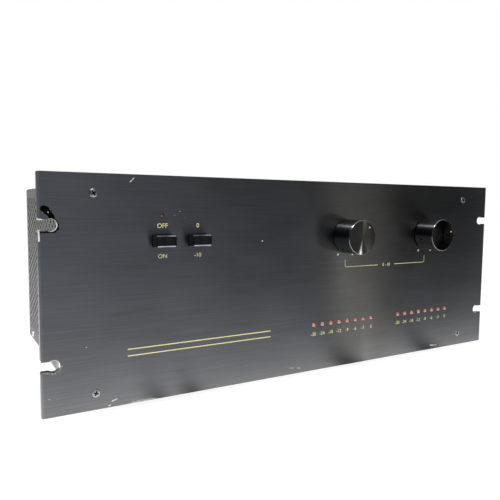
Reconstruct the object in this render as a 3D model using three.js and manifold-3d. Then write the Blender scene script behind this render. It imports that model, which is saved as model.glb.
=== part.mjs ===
// Stereo power amplifier with a 19 inch rack panel, four units high. Millimetres, +Z up, +X to the
// right as seen from the front. Pieces are placed in the panel's own space: x from the panel's centre
// line, y back from its front face and z up from its lower edge. The whole assembly is then moved so
// that it stands on its feet, centred over the origin.
import * as THREE from 'three';
import { mergeVertices } from 'three/addons/utils/BufferGeometryUtils.js';
import Module from 'manifold-3d';

// Clearances and cutting allowances
const SEAT_GAP = 0.3;
const FINE_GAP = 0.15;
const OVERRUN = 1;
const WELD = 0.0001;

// Facets of round shapes
const KNOB_SIDES = 36;
const ROUND_SIDES = 18;
const SMALL_SIDES = 10;
const NUT_SIDES = 6;
const CORNER_STEPS = 3;

// Front panel, with open-ended rack slots in its ears. Between the ears its back is relieved by a
// step for the case, so that the ears lie flat on a rack.
const PANEL_WIDTH = 482.6;
const PANEL_HEIGHT = 177;
const PANEL_THICKNESS = 4.76;
const PANEL_CORNER_RADIUS = 1;
const EAR_STEP = 0.4;
const EAR_CLEARANCE = 1;
const RACK_HOLE_INSET = 8.75;
const RACK_HOLE_RISE = 101.6;
const RACK_HOLE_DIAMETER = 9;
const RACK_MOUTH_HEIGHT = 7;
const RACK_MOUTH_RADIUS = 0.8;

// Countersunk screws of the front panel
const SCREW_SIDE_INSET = 10.5;
const SCREW_LOW_INSET = 6.9;
const SCREW_TOP_INSET = 7.2;
const SCREW_HEAD_DIAMETER = 6.4;
const SCREW_HEAD_DEPTH = 2;
const SCREW_SHANK_DIAMETER = 3.5;
const SCREW_LENGTH = 12;
const SCREW_CROSS_LENGTH = 3.6;
const SCREW_CROSS_WIDTH = 0.9;
const SCREW_CROSS_DEPTH = 1.3;

// Case of folded sheet, a little lower and narrower than the panel
const CASE_SIDE_INSET = 28.3;
const CASE_BOTTOM = 5.8;
const CASE_TOP_INSET = 7.5;
const CASE_BACK = 250;
const CHASSIS_SHEET = 1.5;
const COVER_SHEET = 1.2;
const COVER_BEND_RADIUS = 2.5;
const VENT_COLUMNS = 10;
const VENT_SIDE_ROWS = 6;
const VENT_TOP_ROWS = 10;
const VENT_COLUMN_BAR = 10;
const VENT_SIDE_BAR = 10.5;
const VENT_TOP_BAR = 18.5;
const VENT_FRONT_MARGIN = 5.1;
const VENT_REAR_MARGIN = 6.5;
const VENT_LOW_MARGIN = 13;
const VENT_HIGH_MARGIN = 11.8;
const VENT_TOP_MARGIN = 12.6;
const TRAY_FLANGE = 14;
const WALL_LIP = 12;
const REAR_LIP = 12;

// Rubber feet
const FOOT_HEIGHT = 9.5;
const FOOT_TOP_DIAMETER = 20;
const FOOT_BOTTOM_DIAMETER = 17;
const FOOT_RECESS_DIAMETER = 8;
const FOOT_RECESS_DEPTH = 4;
const FOOT_INSET = 30;
const FOOT_FRONT_Y = 40;

// Push buttons and the switches behind them
const BUTTON_DROP = 50.7;
const POWER_BUTTON_INSET = 91.9;
const BUTTON_WIDTH = 16.4;
const BUTTON_HEIGHT = 9.2;
const BUTTON_SIDE_BEVEL = 0.4;
const BUTTON_TOP_BEVEL = 1.05;
const BUTTON_BEVEL_DEPTH = 1;
const BUTTON_REACH = 10;
const BUTTON_LENGTH = 15;
const BUTTON_TRAVEL = 4;
const BUTTON_HOLE_RADIUS = 0.5;
const STEM_WIDTH = 5;
const STEM_LENGTH = 16;
const SWITCH_SETBACK = 6;
const SWITCH_WIDTH = 15;
const SWITCH_HEIGHT = 12;
const SWITCH_DEPTH = 24;
const SWITCH_PLATE_WIDTH = 26;
const SWITCH_SPACING = 4.2;
const SWITCH_PLATE_THICKNESS = 1.5;
const SWITCH_LEG_THICKNESS = 2;
const SWITCH_LUG_LENGTH = 5;
const SWITCH_LUG_WIDTH = 2;
const SWITCH_LUG_THICKNESS = 0.8;
const SWITCH_LUG_SPACING = 4;

// Power lamp
const LAMP_RISE = 19.4;
const LAMP_DIAMETER = 2.9;
const LAMP_RECESS = 0.6;
const LAMP_HOLDER_DIAMETER = 6;
const LAMP_HOLDER_LENGTH = 6;

// Level controls: one for each channel
const LEFT_CHANNEL_INSET = 205.3;
const RIGHT_CHANNEL_INSET = 97.1;
const KNOB_DROP = 51.15;
const KNOB_DIAMETER = 31.8;
const KNOB_REACH = 23.6;
const KNOB_STANDOFF = 1;
const KNOB_CHAMFER = 0.7;
const KNOB_RECESS_CLEARANCE = 0.9;
const KNOB_RECESS_DEPTH = 5;
const KNOB_FACE_THICKNESS = 5.6;
const POINTER_INSET = 3.4;
const POINTER_DIAMETER = 1.9;
const POINTER_DEPTH = 0.3;
const SET_SCREW_DIAMETER = 3;
const SET_SCREW_Y = -8.5;
const LEFT_POINTER_DEGREES = 42;
const RIGHT_POINTER_DEGREES = 74;
const SHAFT_DIAMETER = 6.35;
const SHAFT_END_GAP = 0.5;
const SHAFT_BACK_Y = 16;
const BUSHING_DIAMETER = 9.5;
const BUSHING_REACH = 4;
const POT_DIAMETER = 24;
const POT_DEPTH = 13;
const POT_NUT_WIDTH = 14;
const POT_NUT_THICKNESS = 2.4;
const POT_LUG_DROP = 9;
const POT_LUG_WIDTH = 14;
const POT_LUG_THICKNESS = 1.6;

// Level meters: a row of lamps for each channel, centred below its knob
const METER_LAMP_COUNT = 8;
const METER_PITCH = 10.16;
const METER_Z = 43.45;
const METER_LAMP_DIAMETER = 4.8;
const METER_LAMP_REACH = 0.9;
const METER_RIM_STEP = 0.5;
const METER_RIM_THICKNESS = 1;
const DOME_STEPS = 3;

// Board that carries the meter lamps
const DISPLAY_BOARD_HEIGHT = 44;
const DISPLAY_BOARD_MARGIN = 14;
const BOARD_THICKNESS = 1.6;
const SPACER_DIAMETER = 6;
const SPACER_INSET = 5;
const CHIP_LENGTH = 24;
const CHIP_HEIGHT = 7;
const CHIP_THICKNESS = 4;

// Rear heatsinks
const HEATSINK_SIDE_INSET = 19;
const HEATSINK_SPACING = 132;
const HEATSINK_LOW_INSET = 6.2;
const HEATSINK_TOP_INSET = 7.5;
const HEATSINK_BASE = 6;
const FIN_COUNT = 13;
const FIN_THICKNESS = 2.2;
const FIN_DEPTH = 34;

// Output boards, whose transistors press on the heatsinks through windows in the rear panel
const SPREADER_SIDE_INSET = 12;
const SPREADER_TOP_INSET = 29;
const SPREADER_THICKNESS = 7;
const SPREADER_CLEARANCE = 2;
const OUTPUT_BOARD_SIDE_REACH = 6;
const OUTPUT_BOARD_TOP_REACH = 10;
const TRANSISTOR_DIAMETER = 22;
const TRANSISTOR_LENGTH = 11;
const TRANSISTOR_SPACING_X = 50;
const TRANSISTOR_SPACING_Z = 44;
const RESISTOR_LENGTH = 24;
const RESISTOR_SIZE = 9;
const RESISTOR_SPACING = 30;

// Mains transformer, with a laminated core of E and I shape
const TRANSFORMER_X = -62;
const CORE_LEG = 16;
const CORE_WINDOW_HEIGHT = 48;
const CORE_STACK = 50;
const CORE_FOOT_REACH = 12;
const CORE_FOOT_THICKNESS = 2.5;
const COIL_GAP = 0.6;
const COIL_CORNER_RADIUS = 5;

// Smoothing capacitors and their bracket
const CAPACITOR_SPACING = 13;
const CAPACITOR_DIAMETER = 51;
const CAPACITOR_HEIGHT = 105;
const CAPACITOR_RIM = 2;
const CAPACITOR_POST_DIAMETER = 8;
const CAPACITOR_POST_HEIGHT = 5;
const CAPACITOR_POST_SPACING = 22;
const BRACKET_RISE = 30;
const BRACKET_THICKNESS = 3;
const BRACKET_MARGIN = 9;
const BRACKET_LEG = 8;

// Bridge rectifier, between the transformer and the capacitors
const RECTIFIER_LEFT_SPACING = 13.7;
const RECTIFIER_RIGHT_SPACING = 8.2;
const RECTIFIER_WIDTH = 28.6;
const RECTIFIER_HEIGHT = 11;
const RECTIFIER_HOLE_DIAMETER = 5;
const RECTIFIER_TAB_HEIGHT = 9;
const RECTIFIER_TAB_WIDTH = 6.3;
const RECTIFIER_TAB_THICKNESS = 0.8;
const RECTIFIER_TAB_INSET = 6;

// Input jacks
const JACK_RISE_SHARE = 0.79;
const JACK_SPREAD = 40;
const JACK_BARREL_DIAMETER = 8.3;
const JACK_BARREL_LENGTH = 10;
const JACK_BORE_DIAMETER = 3.3;
const JACK_BORE_DEPTH = 9;
const JACK_FLANGE_DIAMETER = 15;
const JACK_FLANGE_THICKNESS = 2;
const JACK_NECK_DIAMETER = 9.5;
const JACK_NECK_LENGTH = 10;

// Speaker terminals
const TERMINAL_RISE_SHARE = 0.525;
const TERMINAL_PAIR_SPREAD = 54;
const TERMINAL_SPACING = 19.05;
const TERMINAL_PLATE_WIDTH = 100;
const TERMINAL_PLATE_HEIGHT = 30;
const TERMINAL_PLATE_THICKNESS = 3;
const TERMINAL_PLATE_RADIUS = 3;
const COLLAR_DIAMETER = 12;
const COLLAR_LENGTH = 4;
const STUD_DIAMETER = 4;
const STUD_LENGTH = 11;
const STUD_END_GAP = 1;
const STUD_TAIL = 12;
const STUD_TAIL_HOLE_DIAMETER = 6;
const CAP_DIAMETER = 11.5;
const CAP_CROWN = 2;
const CAP_CHAMFER = 0.8;

// Fuse holder, at one height with the cord's gland
const FUSE_RISE_SHARE = 0.24;
const FUSE_X = 32;
const FUSE_BODY_DIAMETER = 12.4;
const FUSE_BODY_LENGTH = 34;
const FUSE_FLANGE_DIAMETER = 18;
const FUSE_FLANGE_THICKNESS = 3;
const FUSE_BORE_DIAMETER = 8;
const FUSE_BORE_DEPTH = 28;
const FUSE_END_GAP = 4;
const FUSE_CAP_DIAMETER = 14;
const FUSE_CAP_LENGTH = 9;
const FUSE_SLOT_WIDTH = 1.6;
const FUSE_SLOT_DEPTH = 2;

// Outlet gland for the mains cord
const GLAND_X = -32;
const GLAND_BORE_DIAMETER = 8.4;
const GLAND_NECK_DIAMETER = 14;
const GLAND_FLANGE_STEP = 2;
const GLAND_FLANGE_THICKNESS = 4;
const GLAND_LATCH_STEP = 1;
const GLAND_LATCH_THICKNESS = 3;

// Places and sizes that follow from these
const CASE_WIDTH = PANEL_WIDTH - 2 * CASE_SIDE_INSET;
const CASE_TOP = PANEL_HEIGHT - CASE_TOP_INSET;
const CASE_HEIGHT = CASE_TOP - CASE_BOTTOM;
const CASE_MIDDLE = CASE_BACK / 2;
const RELIEF_Y = PANEL_THICKNESS - EAR_STEP;
const WALL_FRONT = RELIEF_Y + SEAT_GAP;
const WALL_BACK = WALL_FRONT + CHASSIS_SHEET;
const BEHIND_WALL = WALL_BACK + SEAT_GAP;
const TRAY_HALF = CASE_WIDTH / 2 - COVER_SHEET - SEAT_GAP;
const INNER_TOP = CASE_TOP - COVER_SHEET - SEAT_GAP;
const FLOOR_TOP = CASE_BOTTOM + CHASSIS_SHEET;
const SEAT_ON_FLOOR = FLOOR_TOP + SEAT_GAP;
const REAR_FRONT = CASE_BACK - CHASSIS_SHEET;
const FLOOR_BACK = REAR_FRONT - SEAT_GAP;
const BEHIND_CASE = CASE_BACK + SEAT_GAP;
const FOOT_BOTTOM = CASE_BOTTOM - SEAT_GAP - FOOT_HEIGHT;
const RACK_HOLE_X = PANEL_WIDTH / 2 - RACK_HOLE_INSET;
const SCREW_X = CASE_WIDTH / 2 - SCREW_SIDE_INSET;
const SCREW_PLACES = [CASE_BOTTOM + SCREW_LOW_INSET, CASE_TOP - SCREW_TOP_INSET]
  .flatMap((z) => [[-SCREW_X, z], [SCREW_X, z]]);
const BUTTON_Z = PANEL_HEIGHT - BUTTON_DROP;
const POWER_BUTTON_X = POWER_BUTTON_INSET - PANEL_WIDTH / 2;
const DISPLAY_BUTTON_X = POWER_BUTTON_X + SWITCH_PLATE_WIDTH + SWITCH_SPACING;
const LAMP_Z = BUTTON_Z + LAMP_RISE;
const KNOB_Z = PANEL_HEIGHT - KNOB_DROP;
const CHANNELS = [
  { side: 'left', x: PANEL_WIDTH / 2 - LEFT_CHANNEL_INSET, degrees: LEFT_POINTER_DEGREES },
  { side: 'right', x: PANEL_WIDTH / 2 - RIGHT_CHANNEL_INSET, degrees: RIGHT_POINTER_DEGREES },
];
const KNOB_BORE_END = KNOB_REACH - KNOB_FACE_THICKNESS;
const POT_NUT_RADIUS = POT_NUT_WIDTH / 2 / Math.cos(Math.PI / NUT_SIDES);
const HEATSINK_WIDTH = (CASE_WIDTH - HEATSINK_SPACING) / 2 - HEATSINK_SIDE_INSET;
const HEATSINK_X = (HEATSINK_SPACING + HEATSINK_WIDTH) / 2;
const HEATSINK_BOTTOM = CASE_BOTTOM + HEATSINK_LOW_INSET;
const HEATSINK_TOP = CASE_TOP - HEATSINK_TOP_INSET;
const HEATSINK_BACK = BEHIND_CASE + HEATSINK_BASE + FIN_DEPTH;
const SPREADER_WIDTH = HEATSINK_WIDTH - 2 * SPREADER_SIDE_INSET;
const SPREADER_HEIGHT = HEATSINK_TOP - HEATSINK_BOTTOM - 2 * SPREADER_TOP_INSET;
const SPREADER_Z = (HEATSINK_BOTTOM + HEATSINK_TOP) / 2;
const RECTIFIER_X = TRANSFORMER_X + 3 * CORE_LEG + RECTIFIER_LEFT_SPACING + RECTIFIER_WIDTH / 2;
const CAPACITOR_LEFT_X = RECTIFIER_X + (RECTIFIER_WIDTH + CAPACITOR_DIAMETER) / 2 + RECTIFIER_RIGHT_SPACING;
const CAPACITOR_RIGHT_X = CAPACITOR_LEFT_X + CAPACITOR_DIAMETER + CAPACITOR_SPACING;
const JACK_Z = CASE_BOTTOM + JACK_RISE_SHARE * CASE_HEIGHT;
const TERMINAL_Z = CASE_BOTTOM + TERMINAL_RISE_SHARE * CASE_HEIGHT;
const FUSE_Z = CASE_BOTTOM + FUSE_RISE_SHARE * CASE_HEIGHT;

// Finishes
const FINISHES = {
  blackAnodised: { color: 0x1b1b1d, roughness: 0.38, metalness: 0.6 },
  blackKnob: { color: 0x0c0c0e, roughness: 0.2, metalness: 0.5 },
  blackPlastic: { color: 0x0d0d0e, roughness: 0.35, metalness: 0 },
  redPlastic: { color: 0x9c1414, roughness: 0.35, metalness: 0 },
  redLens: { color: 0xb23038, roughness: 0.15, metalness: 0 },
  blackPaint: { color: 0x1c1c1b, roughness: 0.45, metalness: 0.1 },
  platedSteel: { color: 0xb9b5a6, roughness: 0.35, metalness: 0.9 },
  brightSteel: { color: 0xc8c8c8, roughness: 0.25, metalness: 1 },
  brass: { color: 0xb08a3c, roughness: 0.3, metalness: 1 },
  core: { color: 0x3a3634, roughness: 0.7, metalness: 0.4 },
  coil: { color: 0xb9935a, roughness: 0.6, metalness: 0 },
  sleeve: { color: 0x23416e, roughness: 0.4, metalness: 0 },
  board: { color: 0x2f5a34, roughness: 0.5, metalness: 0 },
  phenolic: { color: 0x14110f, roughness: 0.5, metalness: 0 },
  rubber: { color: 0x151515, roughness: 0.9, metalness: 0 },
};

// How an outline drawn in two directions lies in space when it is pushed out along the third
const AXIS_X = new THREE.Vector3(1, 0, 0);
const AXIS_Y = new THREE.Vector3(0, 1, 0);
const AXIS_Z = new THREE.Vector3(0, 0, 1);
const ACROSS_Y = new THREE.Matrix4().makeBasis(AXIS_X, AXIS_Z, AXIS_Y.clone().negate());
const ACROSS_X = new THREE.Matrix4().makeBasis(AXIS_Y, AXIS_Z, AXIS_X);
const UPRIGHT = new THREE.Matrix4().makeRotationX(Math.PI / 2);

const wasm = await Module();
wasm.setup();

// A closed geometry as a solid that can be joined and cut, its faces turned outwards
function toSolid(geometry) {
  geometry.deleteAttribute('normal');
  geometry.deleteAttribute('uv');
  const merged = mergeVertices(geometry, WELD);
  const places = merged.attributes.position.array;
  const corners = [];
  for (let i = 0; i < merged.index.count; i += 3) {
    const [a, b, c] = [0, 1, 2].map((k) => merged.index.getX(i + k));
    if (a !== b && b !== c && c !== a) corners.push(a, b, c);
  }
  const point = (k) => new THREE.Vector3().fromArray(places, 3 * k);
  let volume = 0;
  for (let i = 0; i < corners.length; i += 3) {
    volume += point(corners[i]).dot(point(corners[i + 1]).cross(point(corners[i + 2])));
  }
  if (volume < 0) corners.reverse();
  const mesh = new wasm.Mesh({
    numProp: 3,
    vertProperties: new Float32Array(places),
    triVerts: new Uint32Array(corners),
  });
  return new wasm.Manifold(mesh);
}

function toGeometry(solid) {
  const mesh = solid.getMesh();
  const geometry = new THREE.BufferGeometry();
  geometry.setAttribute('position', new THREE.BufferAttribute(mesh.vertProperties, 3));
  geometry.setIndex(new THREE.BufferAttribute(mesh.triVerts, 1));
  return geometry;
}

function joined(solids) {
  return solids.reduce((whole, next) => whole.add(next));
}

function cut(solid, tools) {
  return tools.reduce((whole, tool) => whole.subtract(tool), solid);
}

// Outlines
function arc(x, y, radius, from, to, steps) {
  return Array.from({ length: steps + 1 }, (_, i) => {
    const angle = from + ((to - from) * i) / steps;
    return new THREE.Vector2(x + radius * Math.cos(angle), y + radius * Math.sin(angle));
  });
}

function circle(x, y, radius, sides) {
  return arc(x, y, radius, 0, 2 * Math.PI, sides).slice(0, sides);
}

// A round hole whose flats, not its corners, lie at its radius, so that a round peg clears them
function hole(x, y, radius, sides) {
  return circle(x, y, radius / Math.cos(Math.PI / sides), sides);
}

function rectangle(x0, x1, y0, y1) {
  return [
    new THREE.Vector2(x0, y0),
    new THREE.Vector2(x1, y0),
    new THREE.Vector2(x1, y1),
    new THREE.Vector2(x0, y1),
  ];
}

function roundedRectangle(x0, x1, y0, y1, radius, steps = CORNER_STEPS) {
  const quarter = Math.PI / 2;
  return [
    ...arc(x1 - radius, y1 - radius, radius, 0, quarter, steps),
    ...arc(x0 + radius, y1 - radius, radius, quarter, 2 * quarter, steps),
    ...arc(x0 + radius, y0 + radius, radius, 2 * quarter, 3 * quarter, steps),
    ...arc(x1 - radius, y0 + radius, radius, 3 * quarter, 4 * quarter, steps),
  ];
}

// Solids from outlines, with holes cut right through
function pushed(outline, depth) {
  return new THREE.ExtrudeGeometry(new THREE.Shape(outline), { depth, bevelEnabled: false });
}

function alongY(outline, y0, y1, holes = []) {
  const solid = toSolid(pushed(outline, y1 - y0).applyMatrix4(ACROSS_Y).translate(0, y1, 0));
  return cut(solid, holes.map((line) => alongY(line, y0 - OVERRUN, y1 + OVERRUN)));
}

function alongZ(outline, z0, z1, holes = []) {
  const solid = toSolid(pushed(outline, z1 - z0).translate(0, 0, z0));
  return cut(solid, holes.map((line) => alongZ(line, z0 - OVERRUN, z1 + OVERRUN)));
}

function alongX(outline, x0, x1) {
  return toSolid(pushed(outline, x1 - x0).applyMatrix4(ACROSS_X).translate(x0, 0, 0));
}

function box(x0, x1, y0, y1, z0, z1) {
  const geometry = new THREE.BoxGeometry(x1 - x0, y1 - y0, z1 - z0);
  return toSolid(geometry.translate((x0 + x1) / 2, (y0 + y1) / 2, (z0 + z1) / 2));
}

// A profile of [radius, place along the axis] pairs, turned about Y or Z
function turnedGeometry(profile, sides) {
  return new THREE.LatheGeometry(profile.map(([r, y]) => new THREE.Vector2(r, y)), sides);
}

function turnedY(profile, sides) {
  return toSolid(turnedGeometry(profile, sides));
}

function turnedZ(profile, sides) {
  return toSolid(turnedGeometry(profile, sides).applyMatrix4(UPRIGHT));
}

function rodY(radius, y0, y1, sides) {
  return turnedY([[0, y0], [radius, y0], [radius, y1], [0, y1]], sides);
}

// The assembly
const amplifier = new THREE.Group();

function addPiece(name, solid, finish, place = [0, 0, 0]) {
  const material = new THREE.MeshStandardMaterial({ ...FINISHES[finish], flatShading: true });
  const mesh = new THREE.Mesh(toGeometry(solid), material);
  mesh.name = name;
  mesh.position.set(...place);
  amplifier.add(mesh);
  return mesh;
}

function meterPlaces(channelX) {
  const first = channelX - ((METER_LAMP_COUNT - 1) * METER_PITCH) / 2;
  return Array.from({ length: METER_LAMP_COUNT }, (_, i) => first + i * METER_PITCH);
}

// Front panel
function rackSlot(side, z) {
  const centre = side * RACK_HOLE_X;
  const edge = (side * PANEL_WIDTH) / 2;
  const half = RACK_MOUTH_HEIGHT / 2;
  const flare = RACK_MOUTH_RADIUS;
  const out = edge + side * OVERRUN;
  const mouth = [
    new THREE.Vector2(centre, z - half),
    new THREE.Vector2(edge - side * flare, z - half),
    new THREE.Vector2(edge, z - half - flare),
    new THREE.Vector2(out, z - half - flare),
    new THREE.Vector2(out, z + half + flare),
    new THREE.Vector2(edge, z + half + flare),
    new THREE.Vector2(edge - side * flare, z + half),
    new THREE.Vector2(centre, z + half),
  ];
  const round = hole(centre, z, RACK_HOLE_DIAMETER / 2, ROUND_SIDES);
  return joined([mouth, round].map((line) => alongY(line, -OVERRUN, PANEL_THICKNESS + OVERRUN)));
}

function countersink(x, z) {
  const head = SCREW_HEAD_DIAMETER / 2 + FINE_GAP;
  const shank = SCREW_SHANK_DIAMETER / 2 + SEAT_GAP;
  const slope = (head - shank) / SCREW_HEAD_DEPTH;
  const profile = [
    [0, -OVERRUN],
    [head + slope * OVERRUN, -OVERRUN],
    [shank, SCREW_HEAD_DEPTH],
    [shank, PANEL_THICKNESS + OVERRUN],
    [0, PANEL_THICKNESS + OVERRUN],
  ];
  return turnedY(profile, ROUND_SIDES).translate([x, 0, z]);
}

function buttonHole(x) {
  const halfWidth = BUTTON_WIDTH / 2 + SEAT_GAP;
  const halfHeight = BUTTON_HEIGHT / 2 + SEAT_GAP;
  return roundedRectangle(
    x - halfWidth, x + halfWidth, BUTTON_Z - halfHeight, BUTTON_Z + halfHeight, BUTTON_HOLE_RADIUS, 1,
  );
}

function controlHoles() {
  return [
    buttonHole(POWER_BUTTON_X),
    buttonHole(DISPLAY_BUTTON_X),
    hole(POWER_BUTTON_X, LAMP_Z, LAMP_DIAMETER / 2 + FINE_GAP, SMALL_SIDES),
    ...CHANNELS.map(({ x }) => hole(x, KNOB_Z, BUSHING_DIAMETER / 2 + SEAT_GAP, ROUND_SIDES)),
  ];
}

function frontPanel() {
  const half = PANEL_WIDTH / 2;
  const outline = roundedRectangle(-half, half, 0, PANEL_HEIGHT, PANEL_CORNER_RADIUS);
  const lampRadius = METER_LAMP_DIAMETER / 2 + FINE_GAP;
  const lampHoles = CHANNELS.flatMap(({ x }) => meterPlaces(x))
    .map((x) => hole(x, METER_Z, lampRadius, SMALL_SIDES));
  const plate = alongY(outline, 0, PANEL_THICKNESS, [...controlHoles(), ...lampHoles]);
  const slots = [-1, 1].flatMap((side) => [-1, 1]
    .map((up) => rackSlot(side, PANEL_HEIGHT / 2 + (up * RACK_HOLE_RISE) / 2)));
  const sinks = SCREW_PLACES.map(([x, z]) => countersink(x, z));
  const reliefX = CASE_WIDTH / 2 + EAR_CLEARANCE;
  const relief = box(
    -reliefX, reliefX, RELIEF_Y, PANEL_THICKNESS + OVERRUN, -OVERRUN, PANEL_HEIGHT + OVERRUN,
  );
  return cut(plate, [...slots, ...sinks, relief]);
}

function panelScrew() {
  const head = SCREW_HEAD_DIAMETER / 2;
  const shank = SCREW_SHANK_DIAMETER / 2;
  const body = turnedY(
    [[0, 0], [head, 0], [shank, SCREW_HEAD_DEPTH], [shank, SCREW_LENGTH], [0, SCREW_LENGTH]],
    ROUND_SIDES,
  );
  const long = SCREW_CROSS_LENGTH / 2;
  const short = SCREW_CROSS_WIDTH / 2;
  const across = box(-long, long, -OVERRUN, SCREW_CROSS_DEPTH, -short, short);
  const upright = box(-short, short, -OVERRUN, SCREW_CROSS_DEPTH, -long, long);
  return cut(body, [across, upright]);
}

// Case
function withinCover(solid) {
  const radius = COVER_BEND_RADIUS;
  const low = CASE_BOTTOM - OVERRUN;
  const outline = [
    new THREE.Vector2(TRAY_HALF, low),
    ...arc(TRAY_HALF - radius, INNER_TOP - radius, radius, 0, Math.PI / 2, CORNER_STEPS),
    ...arc(radius - TRAY_HALF, INNER_TOP - radius, radius, Math.PI / 2, Math.PI, CORNER_STEPS),
    new THREE.Vector2(-TRAY_HALF, low),
  ];
  return solid.intersect(alongY(outline, WALL_FRONT - OVERRUN, CASE_BACK + OVERRUN));
}

function chassisTray() {
  const floor = box(-TRAY_HALF, TRAY_HALF, WALL_FRONT, FLOOR_BACK, CASE_BOTTOM, FLOOR_TOP);
  const meterSlots = CHANNELS.map(({ x }) => {
    const places = meterPlaces(x);
    const radius = METER_LAMP_DIAMETER / 2 + SEAT_GAP;
    return roundedRectangle(
      places[0] - radius, places.at(-1) + radius, METER_Z - radius, METER_Z + radius, radius - FINE_GAP,
    );
  });
  const screwHoles = SCREW_PLACES
    .map(([x, z]) => hole(x, z, SCREW_SHANK_DIAMETER / 2 + SEAT_GAP, SMALL_SIDES));
  const wall = alongY(
    rectangle(-TRAY_HALF, TRAY_HALF, CASE_BOTTOM, INNER_TOP), WALL_FRONT, WALL_BACK,
    [...controlHoles(), ...meterSlots, ...screwHoles],
  );
  const lipBack = WALL_BACK + WALL_LIP;
  const topLip = box(
    -TRAY_HALF, TRAY_HALF, WALL_FRONT, lipBack, INNER_TOP - CHASSIS_SHEET, INNER_TOP,
  );
  const sides = [-1, 1].flatMap((side) => {
    const outer = side * TRAY_HALF;
    const inner = outer - side * CHASSIS_SHEET;
    const [x0, x1] = [Math.min(inner, outer), Math.max(inner, outer)];
    return [
      box(x0, x1, WALL_FRONT, FLOOR_BACK, CASE_BOTTOM, CASE_BOTTOM + TRAY_FLANGE),
      box(x0, x1, WALL_FRONT, lipBack, CASE_BOTTOM, INNER_TOP),
    ];
  });
  return withinCover(joined([floor, wall, topLip, ...sides]));
}

// Stretches of equal length from low to high, with a bar of sheet between each two
function openStretches(low, high, count, bar) {
  const length = (high - low - (count - 1) * bar) / count;
  return Array.from({ length: count }, (_, i) => low + i * (length + bar))
    .map((start) => [start, start + length]);
}

// A plain grid of openings in the cover's sides and top, with as much open area as its fine round holes
function vents() {
  const half = CASE_WIDTH / 2;
  const [reach, under, over] = [half + OVERRUN, CASE_TOP - COVER_SHEET - OVERRUN, CASE_TOP + OVERRUN];
  const columns = openStretches(
    WALL_FRONT + VENT_FRONT_MARGIN, CASE_BACK - VENT_REAR_MARGIN, VENT_COLUMNS, VENT_COLUMN_BAR,
  );
  const sideRows = openStretches(
    CASE_BOTTOM + VENT_LOW_MARGIN, CASE_TOP - VENT_HIGH_MARGIN, VENT_SIDE_ROWS, VENT_SIDE_BAR,
  );
  const topRows = openStretches(
    VENT_TOP_MARGIN - half, half - VENT_TOP_MARGIN, VENT_TOP_ROWS, VENT_TOP_BAR,
  );
  return columns.flatMap(([y0, y1]) => [
    ...sideRows.map(([z0, z1]) => box(-reach, reach, y0, y1, z0, z1)),
    ...topRows.map(([x0, x1]) => box(x0, x1, y0, y1, under, over)),
  ]);
}

function perforatedCover() {
  const half = CASE_WIDTH / 2;
  const inside = half - COVER_SHEET;
  const radius = COVER_BEND_RADIUS;
  const innerRadius = radius - COVER_SHEET;
  const under = CASE_TOP - COVER_SHEET;
  const quarter = Math.PI / 2;
  const outline = [
    new THREE.Vector2(half, CASE_BOTTOM),
    ...arc(half - radius, CASE_TOP - radius, radius, 0, quarter, CORNER_STEPS),
    ...arc(radius - half, CASE_TOP - radius, radius, quarter, 2 * quarter, CORNER_STEPS),
    new THREE.Vector2(-half, CASE_BOTTOM),
    new THREE.Vector2(-inside, CASE_BOTTOM),
    ...arc(innerRadius - inside, under - innerRadius, innerRadius, 2 * quarter, quarter, CORNER_STEPS),
    ...arc(inside - innerRadius, under - innerRadius, innerRadius, quarter, 0, CORNER_STEPS),
    new THREE.Vector2(inside, CASE_BOTTOM),
  ];
  return cut(alongY(outline, WALL_FRONT, CASE_BACK), vents());
}

function terminalPlaces() {
  return [-1, 1].flatMap((pair) => [-1, 1]
    .map((post) => (pair * TERMINAL_PAIR_SPREAD) / 2 + (post * TERMINAL_SPACING) / 2));
}

function rearPanel() {
  const windowWidth = SPREADER_WIDTH / 2 + SPREADER_CLEARANCE;
  const windowHeight = SPREADER_HEIGHT / 2 + SPREADER_CLEARANCE;
  const windows = [-1, 1].map((side) => rectangle(
    side * HEATSINK_X - windowWidth, side * HEATSINK_X + windowWidth,
    SPREADER_Z - windowHeight, SPREADER_Z + windowHeight,
  ));
  const jackHoles = [-1, 1].map((side) => hole(
    (side * JACK_SPREAD) / 2, JACK_Z, JACK_NECK_DIAMETER / 2 + SEAT_GAP, ROUND_SIDES,
  ));
  const studHoles = terminalPlaces()
    .map((x) => hole(x, TERMINAL_Z, STUD_TAIL_HOLE_DIAMETER / 2, SMALL_SIDES));
  const fuseHole = hole(FUSE_X, FUSE_Z, FUSE_BODY_DIAMETER / 2 + SEAT_GAP, ROUND_SIDES);
  const glandHole = hole(GLAND_X, FUSE_Z, GLAND_NECK_DIAMETER / 2 + SEAT_GAP, ROUND_SIDES);
  const sheet = alongY(
    rectangle(-TRAY_HALF, TRAY_HALF, CASE_BOTTOM, INNER_TOP), REAR_FRONT, CASE_BACK,
    [...windows, ...jackHoles, ...studHoles, fuseHole, glandHole],
  );
  const flangeInside = TRAY_HALF - CHASSIS_SHEET - SEAT_GAP;
  const lowLip = box(
    -flangeInside, flangeInside, REAR_FRONT - REAR_LIP, CASE_BACK,
    SEAT_ON_FLOOR, SEAT_ON_FLOOR + CHASSIS_SHEET,
  );
  const topLip = box(
    -TRAY_HALF, TRAY_HALF, REAR_FRONT - REAR_LIP, CASE_BACK, INNER_TOP - CHASSIS_SHEET, INNER_TOP,
  );
  return withinCover(joined([sheet, lowLip, topLip]));
}

function foot() {
  const top = FOOT_TOP_DIAMETER / 2;
  const bottom = FOOT_BOTTOM_DIAMETER / 2;
  const recess = FOOT_RECESS_DIAMETER / 2;
  const profile = [
    [0, FOOT_RECESS_DEPTH],
    [recess, FOOT_RECESS_DEPTH],
    [recess, 0],
    [bottom, 0],
    [top, FOOT_HEIGHT],
    [0, FOOT_HEIGHT],
  ];
  return turnedZ(profile, ROUND_SIDES);
}

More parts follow.
